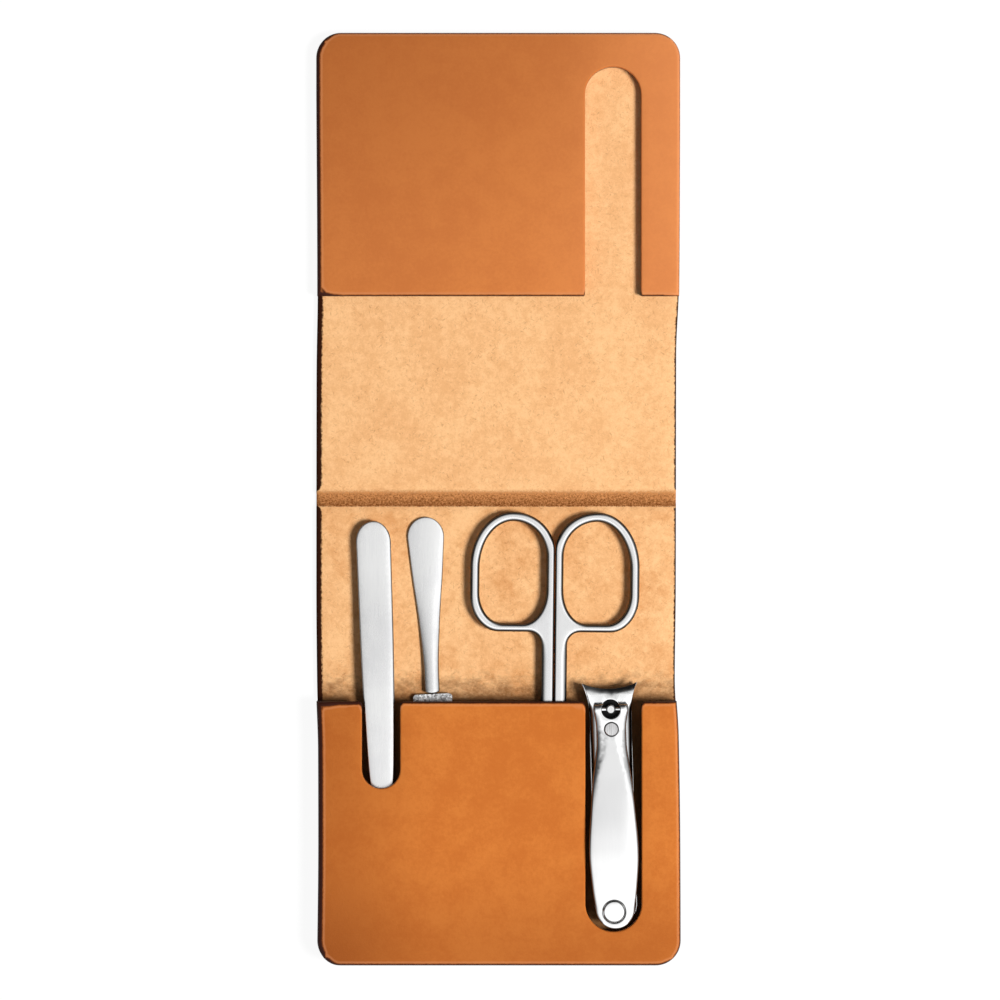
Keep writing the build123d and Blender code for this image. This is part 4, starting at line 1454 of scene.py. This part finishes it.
@dataclass
class Scissors:
    """Two equal halves, one turned over, on one screw."""

    frame: ToolFrame = ToolFrame(13.6, -61.5, -0.6)
    bottom: float = 3.05
    thickness: float = 2.25
    play: float = 0.05
    ring: tuple[float, float, float, float] = (-20.9, -0.12, 28.5, 58.1)
    shoulders: Point = (13.5, 9.5)
    heel: Point = (7.2, 9.0)
    hole: tuple[float, float, float, float] = (-18.6, -2.12, 30.5, 55.8)
    hole_shoulders: Point = (11.6, 8.6)
    hole_heels: Point = (7.6, 8.4)
    hole_heel_width: float = 5.8
    shank: Point = (-3.2, -0.12)
    crotch: float = 3.2
    boss: float = 4.2
    relief: float = 4.7
    screw_radius: float = 1.25
    tip: float = -33.0

    def bow(self) -> Loop:
        """The outline of the ring and the shank, to the left."""
        left, right, low, high = self.ring
        middle, half = (left + right) / 2, (right - left) / 2
        out, into = self.shoulders
        width, height = self.heel
        x0, x1 = self.shank
        round_boss = arc((0, 0), (self.relief, self.relief), 135, -42, 8)
        foot = [(x, y) for x, y in round_boss if x0 + 0.4 < x < x1 - 0.4]
        points = [(x1, sqrt(self.relief**2 - x1**2)), (x1, high - into)]
        points += arc((middle, high - into), (half, into), 0, 90, 20)[1:]
        points += arc((middle, high - out), (half, out), 90, 90, 20)[1:]
        points += arc((left + width, low + height), (width, height), 180, 90, 14)
        points += arc((x0 - self.crotch, low - self.crotch), (self.crotch, self.crotch), 90, -90, 8)
        points += [(x0, sqrt(self.relief**2 - x0**2))] + foot
        return divided(points, 0.8)

    def eye(self) -> Loop:
        """The outline of the finger hole, to the right, so that the material lies to its left."""
        left, right, low, high = self.hole
        middle, half = (left + right) / 2, (right - left) / 2
        out, into = self.hole_shoulders
        heel_out, heel_in = self.hole_heels
        width = self.hole_heel_width
        points = arc((middle, high - into), (half, into), 0, 90, 18)
        points += arc((middle, high - out), (half, out), 90, 90, 18)[1:]
        points += arc((left + width, low + heel_out), (width, heel_out), 180, 90, 12)
        points += arc((right - width, low + heel_in), (width, heel_in), 270, 90, 12)
        return divided(points, 0.8)[::-1]

    def blade(self) -> Loop:
        """The outline of the blade, the boss and the root in the shank, to the left."""
        x0, x1 = self.shank
        points = [(x1 - 0.02, 6.5), (x0 + 0.02, 6.5)]
        points += arc((0, 0), (self.boss, self.boss), 140, 110, 12)
        points += [(-1.4, -4.6), (-0.5, self.tip), (2.0, -25.0), (3.3, -14.0), (3.6, -4.0)]
        points += arc((0, 0), (self.boss, self.boss), -30, 118, 12)
        return divided(points, 1.2)

    def half(self, side: float) -> Piece:
        """One half of the scissors.

        Args:
            side: 1 for the left half and -1 for the right one.

        Returns:
            The piece.
        """
        low, high = self.bottom, self.bottom + self.thickness
        layer = self.bottom + self.thickness / 2 + side * self.play / 2
        turn = (lambda loop: loop) if side > 0 else mirrored
        name = "scissors_left" if side > 0 else "scissors_right"

        def band(x: float, y: float) -> Edge:
            """Round on the ring and the shank's outside, narrower where the halves meet."""
            outside = ease(abs(x), 0.1, 0.9)
            shank = 0.6 * (1 - ease(y, 22, 27)) * ease(abs(x), 2.0, 3.0)
            foot = 0.15 + 0.85 * ease(y, 4.5, 8.5)
            return Edge((0.55 + 0.38 * outside + shank) * foot, (0.5 + 0.5 * outside) * foot)

        bow = Plate(
            name=name + "_steel",
            outer=turn(self.bow()),
            holes=[turn(self.eye())],
            top=lambda x, y: high,
            bottom=lambda x, y: low,
            top_edge=band,
            bottom_edge=Edge(0.3, 0.3),
            spacing=1.1,
            place=self.frame,
            steps=7,
        ).build()
        blade = Plate(
            name=name + "_blade",
            outer=turn(self.blade()),
            holes=[turn(hole((0, 0), self.screw_radius, 20))],
            top=lambda x, y: high if side > 0 else layer,
            bottom=lambda x, y: layer if side > 0 else low,
            top_edge=Edge(0.12, 0.12),
            bottom_edge=Edge(0.12, 0.12),
            spacing=1.5,
            place=self.frame,
        ).build()
        return joined(bow, blade)

    def build(self, steel: Material, polished: Material) -> None:
        """Makes both halves and dresses the screw."""
        for side, body in ((1, "scissors_left"), (-1, "scissors_right")):
            piece = self.half(side)
            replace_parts(dress(piece, steel), body + "_half")
            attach(piece, body)
            report(piece)
        dress_node("scissors_screw", polished)


def joined(first: Piece, *others: Piece) -> Piece:
    """Puts several closed shells into one piece."""
    every = [first, *others]
    with bpy.context.temp_override(
        active_object=first, object=first, selected_objects=every, selected_editable_objects=every
    ):
        bpy.ops.object.join()
    return first


def spindle(name: str, place: ToolFrame, height: float, profile: list[Point]) -> Piece:
    """A bar of round section that lies across a tool.

    Args:
        name: the piece's name.
        place: the tool's frame.
        height: the bar's height.
        profile: pairs of place along the bar and radius, from one end to the other.

    Returns:
        The piece.
    """
    turns = 24
    spokes = [2 * pi * k / turns for k in range(turns)]
    vertices = [
        place.place(along, radius * cos(a), height + radius * sin(a))
        for along, radius in profile
        for a in spokes
    ]
    faces = [
        (row + k, row + (k + 1) % turns, row + turns + (k + 1) % turns, row + turns + k)
        for row in range(0, turns * (len(profile) - 1), turns)
        for k in range(turns)
    ]
    faces += [tuple(range(turns))[::-1], tuple(range(len(vertices) - turns, len(vertices)))]
    mesh = smooth_mesh(name, vertices, [face[::-1] for face in faces])
    mesh.update()
    return placed(mesh)


@dataclass
class Clipper:
    """Two sprung arms on a rivet, a pin, and the lever folded over them."""

    frame: ToolFrame = ToolFrame(27.7, -51.8, 1.7)
    lever_frame: ToolFrame = ToolFrame(27.7, -51.8, 1.3)
    jaw_reach: float = 6.3
    jaw_half: float = 6.6
    jaw_hollow: float = 1.3
    face_width: float = 1.15
    face_drop: float = 1.25
    jaw_rise: float = 0.055
    arm_half: float = 5.05
    arm_tail: float = 53.6
    arm_thickness: float = 1.25
    arm_crown: float = 0.45
    arm_hole: float = 2.3
    rivet: float = 50.0
    arm_low: Course = Course((-6.3, 5.34), (-5.0, 5.85), (-2.5, 6.09), (50.0, 3.34), (53.6, 3.34))
    bar: float = 8.95
    nose: float = 1.4
    lever_tail: float = 53.9
    lever_tail_round: float = 5.0
    lever_half: Course = Course(
        (0.0, 4.3), (4.5, 3.7), (8.5, 3.72), (12.0, 4.1), (16.0, 4.7),
        (24.0, 5.4), (35.0, 6.1), (44.0, 5.5), (48.9, 4.85),
    )
    lever_top: Course = Course(
        (0.5, 10.25), (4.0, 10.09), (10.0, 10.0), (16.0, 10.0), (22.0, 10.1),
        (28.0, 10.17), (34.0, 10.08), (44.0, 9.7), (53.9, 9.2),
    )
    rib_half: Course = Course((5.2, 1.25), (9.6, 1.7), (12.5, 2.4), (15.5, 3.4), (19.0, 4.6))
    rib_step: float = 0.16
    belly_crown: float = 0.3
    edge_crown: float = 0.08
    facet_width: float = 1.2
    facet_drop: float = 0.52
    lever_thickness: float = 1.1
    eye: float = 2.25
    recess: Point = (4.2, 9.0)
    stud: float = 4.85
    stud_seat: float = 1.7
    disc: Point = (-0.3, -49.7)
    disc_radius: float = 2.6
    disc_seat: float = 2.85
    disc_proud: float = 0.08
    disc_depth: float = 0.6
    bar_ends: float = 0.75
    bar_shoulder: float = 0.5
    bar_middle: float = 0.45

    def jaw_edge(self) -> tuple[float, float]:
        """The hollow cutting edge's centre, along the tool, and its radius."""
        radius = (self.jaw_half**2 + self.jaw_hollow**2) / (2 * self.jaw_hollow)
        return self.jaw_reach - self.jaw_hollow + radius, radius

    def jaw_line(self, back: float, steps: int = 24) -> Loop:
        """The cutting edge, or a line behind it, from its right end to its left end."""
        centre, radius = self.jaw_edge()
        spread = degrees(asin(self.jaw_half / radius))
        return arc((0, centre), (radius + back, radius + back), 270 + spread, -2 * spread, steps)

    def arm_outline(self) -> Loop:
        """The upper arm's outline: hollow cutting edge, flared jaw, straight flanks, round tail."""
        flare = Course(
            (-10.0, self.arm_half),
            (1.9, self.arm_half + 0.25),
            (4.2, self.arm_half + 0.8),
            (self.jaw_reach, self.jaw_half),
        )
        side = [(-flare(self.jaw_reach - k * 0.6), self.jaw_reach - k * 0.6) for k in range(1, 28)]
        points = self.jaw_line(0.0) + side
        tail = (0, self.arm_half - self.arm_tail)
        points += arc(tail, (self.arm_half, self.arm_half), 180, 180, 20)
        points += mirrored(side)
        return divided(points, 1.2)

    def arm_flank(self, x: float, y: float) -> float:
        """1 on the arm's long flanks, which are rolled, and 0 at its jaw and round its hole."""
        return ease(abs(x), 3.2, 4.4) * (1 - ease(y, -1.0, 2.5))

    def arm_top(self, x: float, y: float) -> float:
        """The upper arm's top, with the ground face that slopes to the cutting edge."""
        level = self.arm_low(max(-y, -2.5)) + self.arm_thickness + self.jaw_rise * max(0.0, y - 2.5)
        centre, radius = self.jaw_edge()
        behind = hypot(x, y - centre) - radius
        if y < 0 or behind > self.face_width:
            return level - self.arm_crown * (x / self.arm_half) ** 4 * (1 - ease(y, -1.0, 2.5))
        return level - self.face_drop * (1 - max(0.0, behind) / self.face_width)

    def upper_arm(self) -> Piece:
        """The upper arm with its ground cutting edge."""
        backs = [self.face_width * share for share in (0.5, 0.98, 1.12)]
        crease = [point for back in backs for point in self.jaw_line(back, 40)]

        def edge(x: float, y: float) -> Edge:
            """Crisp, but rolled along the flanks."""
            flank = self.arm_flank(x, y)
            return Edge(0.12 + 1.6 * flank, 0.12 + 0.95 * flank)

        return Plate(
            name="clipper_upper_arm_steel",
            outer=self.arm_outline(),
            holes=[hole((0, 0), self.arm_hole, 28)],
            top=self.arm_top,
            bottom=lambda x, y: self.arm_low(-y),
            top_edge=edge,
            bottom_edge=Edge(0.08, 0.08),
            spacing=1.3,
            extra=crease,
            place=self.frame,
        ).build()

    def lever_face(self, x: float, y: float) -> float:
        """The lever's visible face: rolled nose, pressed rib between two facets, full belly."""
        s = -y
        half = self.lever_half(s)
        rolled = self.bar + sqrt(max(0.2, self.nose**2 - min(0.0, s) ** 2))
        level = min(rolled, self.lever_top(s)) if s > 0.2 else rolled
        share = min(1.0, abs(x) / half)
        fading = 1 - ease(s, 12.5, 19.0)
        beyond = abs(x) - self.rib_half(s)
        step = self.rib_step * ease(beyond, -0.1, 0.35) * fading * ease(s, 3.0, 5.0)
        facet = max(0.0, (abs(x) - half + self.facet_width) / self.facet_width)
        slope = self.facet_drop * facet * (1 - ease(s, 15.0, 25.0)) * ease(s, 0.0, 2.0)
        crown = (self.edge_crown + self.belly_crown * ease(s, 14.0, 34.0)) * share**3
        return level - step - slope - crown

    def lever_outline(self) -> Loop:
        """The lever's outline: blunt nose round an open eye, waist, belly and round tail."""
        half = self.lever_half(0.0)
        opening = 90 + degrees(asin(self.nose / self.eye))
        nose = arc((0, 0), (self.eye, self.eye), -90, opening, 22)
        nose += [(half - 0.4, self.nose), (half - 0.05, self.nose - 0.35)]
        flank_end = self.lever_tail - self.lever_tail_round
        flank = [(self.lever_half(0.9 * k), -0.9 * k) for k in range(int(flank_end / 0.9) + 1)]
        tail = arc((0, -flank_end), (self.lever_half(flank_end), self.lever_tail_round), 0, -90, 14)
        right = nose + flank + tail
        left = [(-x, y) for x, y in reversed(right) if x > 1e-6]
        return divided((right + left)[::-1], 0.8)

    def lever_under(self, x: float, y: float) -> float:
        """The lever's other face."""
        s = -y
        if s < self.nose:
            return self.bar - sqrt(max(0.2, self.nose**2 - s**2))
        return self.lever_top(max(s, 5.0)) - self.lever_thickness

    def lever(self) -> Piece:
        """The lever, with the bar across its eye."""
        creases = [
            (side * (self.rib_half(s) + gap), -s)
            for s in [3.0 + 0.5 * k for k in range(34)]
            for side in (-1, 1)
            for gap in (-0.05, 0.3)
            if self.rib_half(s) + gap < self.lever_half(s) - 1.5
        ]
        creases += [
            (side * (self.lever_half(s) - self.facet_width), -s)
            for s in [1.5 + 0.5 * k for k in range(44)]
            for side in (-1, 1)
        ]
        roll = [(-3.9 + 0.6 * i, 1.0 - 0.35 * j) for i in range(14) for j in range(8)]

        def edge(x: float, y: float) -> Edge:
            """Narrow round the eye, full outside."""
            outside = ease(abs(x), 3.0, 3.6)
            return Edge(0.28 + 0.3 * outside, 0.28 + 0.2 * outside)

        plate = Plate(
            name="clipper_lever_steel",
            outer=self.lever_outline(),
            holes=[hole((0, -self.stud), self.stud_seat, 24), hole(self.disc, self.disc_seat, 44)],
            top=self.lever_face,
            bottom=self.lever_under,
            top_edge=edge,
            bottom_edge=Edge(0.12, 0.12),
            spacing=0.7,
            extra=creases + roll,
            place=self.lever_frame,
        )
        reach = self.eye + 0.7
        right = [(0.8, self.bar_middle), (reach - 0.8, self.bar_shoulder), (reach, self.bar_ends)]
        profile = [(-along, radius) for along, radius in right[::-1]] + right
        return joined(plate.build(), spindle("clipper_bar", self.lever_frame, self.bar, profile))

    def disc_piece(self) -> Piece:
        """The disc that is let into the lever's tail."""
        return Plate(
            name="clipper_disc_steel",
            outer=arc(self.disc, (self.disc_radius, self.disc_radius), 0, 360, 48)[:-1],
            top=lambda x, y: self.lever_top(-y) + self.disc_proud,
            bottom=lambda x, y: self.lever_top(-y) - self.disc_depth,
            top_edge=Edge(0.35, 0.3),
            bottom_edge=Edge(0.05, 0.05),
            spacing=0.7,
            place=self.lever_frame,
        ).build()

    def build(self, steel: Material, polished: Material) -> None:
        """Makes the upper arm, the lever and its disc, and dresses the rest."""
        arm = self.upper_arm()
        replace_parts(dress(arm, steel), "clipper_upper_arm")
        start = self.frame.place(0, -self.rivet - 1.5, self.bar)
        end = self.frame.place(0, -self.rivet + 16, self.bar)
        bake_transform(arm)
        lever = self.lever()
        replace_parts(dress(lever, polished), "clipper_lever")
        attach(lever, "clipper_lever")
        disc = self.disc_piece()
        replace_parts(dress(disc, polished), "clipper_lever_disc")
        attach(disc, "clipper_lever")
        recess = (self.frame.x, self.frame.y, *self.recess)
        # The lower arm and the pin get painted shade round the pin, seen dark through the lever's
        # eye.
        recess_shaded = Steel("grimy_steel", roughness=0.25, grime=recess).material()
        for node in ("clipper_lower_arm", "clipper_pin"):
            dress_node(node, recess_shaded)
        dress_node("clipper_tail_rivet", polished)
        # A darker copy of the steel, as painted shade for the stud's dished face.
        stud = Steel("stud_steel", (0.5, 0.49, 0.49, 1.0), roughness=0.2).material()
        dress_node("clipper_fulcrum_stud", stud)
        report(arm, lever, disc)


# ---------------------------------------------------------------------------------------------
# The studio
# ---------------------------------------------------------------------------------------------


@dataclass
class Studio:
    """A pale floor, one soft lamp on the right, a dim surround, and the camera above."""

    eye_height: float = 900.0
    centre: Point = (0.5, -0.4)
    field_width: float = 247.5
    focus_height: float = 2.0
    sensor: float = 36.0
    lamp_power: float = 22.5
    lamp_size: float = 0.46
    lamp_distance: float = 1.4
    lamp_height: float = 54.0
    lamp_turn: float = -16.0
    surround: float = 0.15
    lean_right: float = 0.35
    lean_back: float = -0.45
    floor_half: float = 3.0
    floor_gap: float = 0.00004
    floor_white: float = 0.93

    def camera(self) -> None:
        """The camera, straight above the open case."""
        data = bpy.data.cameras.new("camera_above")
        made = placed(data)
        made.location = (self.centre[0] * MM, self.centre[1] * MM, self.eye_height * MM)
        data.sensor_width = self.sensor
        data.lens = self.sensor * (self.eye_height - self.focus_height) / self.field_width
        data.clip_start, data.clip_end = 0.01, 20.0
        bpy.context.scene.camera = made

    def lamp(self) -> None:
        """The soft lamp on the right."""
        data = bpy.data.lights.new("key_lamp", "AREA")
        data.shape = "DISK"
        data.size = self.lamp_size
        data.energy = self.lamp_power
        made = placed(data)
        up, turn = radians(self.lamp_height), radians(self.lamp_turn)
        way = Vector((cos(up) * cos(turn), cos(up) * sin(turn), sin(up)))
        made.location = way * self.lamp_distance
        made.rotation_euler = way.to_track_quat("Z", "Y").to_euler()
        made.visible_glossy = False

    def world(self) -> None:
        """The surround: dim for light, white behind, and in steel bright above and dark below."""
        made = bpy.data.worlds.new("surround")
        bpy.context.scene.world = made
        made.use_nodes = True
        graph = Graph(made.node_tree)
        path = graph.node("ShaderNodeLightPath").outputs
        right, back, up = graph.axes(graph.coordinate("Generated"))
        lean = graph.add(up, graph.times(right, self.lean_right), graph.times(back, self.lean_back))
        front = graph.times(back, -1.0)

        def glow(way: Any, rise: Point, fall: Point, share: float) -> Socket:
            """A soft band of brightness between two slants."""
            return graph.times(graph.band(way, *rise), graph.band(way, *fall, 1.0, 0.0), share)

        near = glow(front, (0.11, 0.19), (0.4, 0.65), 0.4)
        beside = glow(right, (0.06, 0.26), (0.4, 0.7), 0.35)
        in_steel = graph.add(graph.band(lean, 0.25, 1.2, 0.08, 1.02), near, beside)

        def sky(strength: Any) -> Socket:
            """White light from all round."""
            return graph.node("ShaderNodeBackground", {0: WHITE, 1: strength}).outputs[0]

        lit = graph.choose(path["Is Glossy Ray"], sky(self.surround), sky(in_steel))
        seen = graph.maths("MAXIMUM", path["Is Camera Ray"], path["Is Transmission Ray"])
        graph.node("ShaderNodeOutputWorld", {0: graph.choose(seen, lit, sky(1.0))})

    def floor(self) -> None:
        """The pale floor, which shows white and keeps the case's shadow."""
        half = self.floor_half
        corners = [(-half, -half, 0), (half, -half, 0), (half, half, 0), (-half, half, 0)]
        mesh = bpy.data.meshes.new("floor")
        mesh.from_pydata(corners, [], [(0, 1, 2, 3)])
        made = placed(mesh)
        made.location.z = -self.floor_gap
        material, graph = empty_material("pale_floor")
        seen = graph.node("ShaderNodeLightPath").outputs["Is Camera Ray"]
        matt = graph.node("ShaderNodeBsdfDiffuse", {0: (0.8, 0.8, 0.8, 1.0)})
        tint = graph.node("ShaderNodeBsdfDiffuse", {0: (0.1, 0.1, 0.1, 1.0)})
        white = graph.node("ShaderNodeEmission", {0: WHITE, 1: self.floor_white})
        shown = graph.node("ShaderNodeAddShader", {0: tint.outputs[0], 1: white.outputs[0]})
        both = graph.choose(seen, matt.outputs[0], shown.outputs[0])
        graph.node("ShaderNodeOutputMaterial", {0: both})
        mesh.materials.append(material)

    def build(self) -> None:
        """Sets up the camera, the light and the floor."""
        self.camera()
        self.lamp()
        self.world()
        self.floor()
        bpy.context.scene.view_settings.view_transform = "Standard"


def main() -> None:
    """Builds and dresses the case and its tools, then the studio round them."""
    logging.basicConfig(level=logging.INFO, format="%(name)s %(message)s")
    for make in (make_nap, make_grain, make_paint_and_shade, make_satin):
        make()
    satin = Steel("satin_steel").material()
    bright = Steel("bright_steel", roughness=0.18, streak=0.6, flank=0.88, steep=0.78).material()
    polished = Steel("polished_steel", roughness=0.16, streak=0.4, flank=0.7, steep=0.68).material()
    pale, dull = (0.6, 0.58, 0.55, 1.0), (0.5, 0.49, 0.47, 1.0)
    nickel = Steel("magnet_nickel", pale, dull, 0.3, 0.5).material()
    LeatherCase().build(Suede("suede").material(), Tanned("tanned").material())
    Tweezers().build(satin)
    NailFile().build(satin, Grit("file_grit").material())
    Scissors().build(bright, polished)
    Clipper().build(bright, polished)
    for node in ("pocket_magnets", "flap_magnets"):
        dress_node(node, nickel)
    Studio().build()


if __name__ == "__main__":
    main()
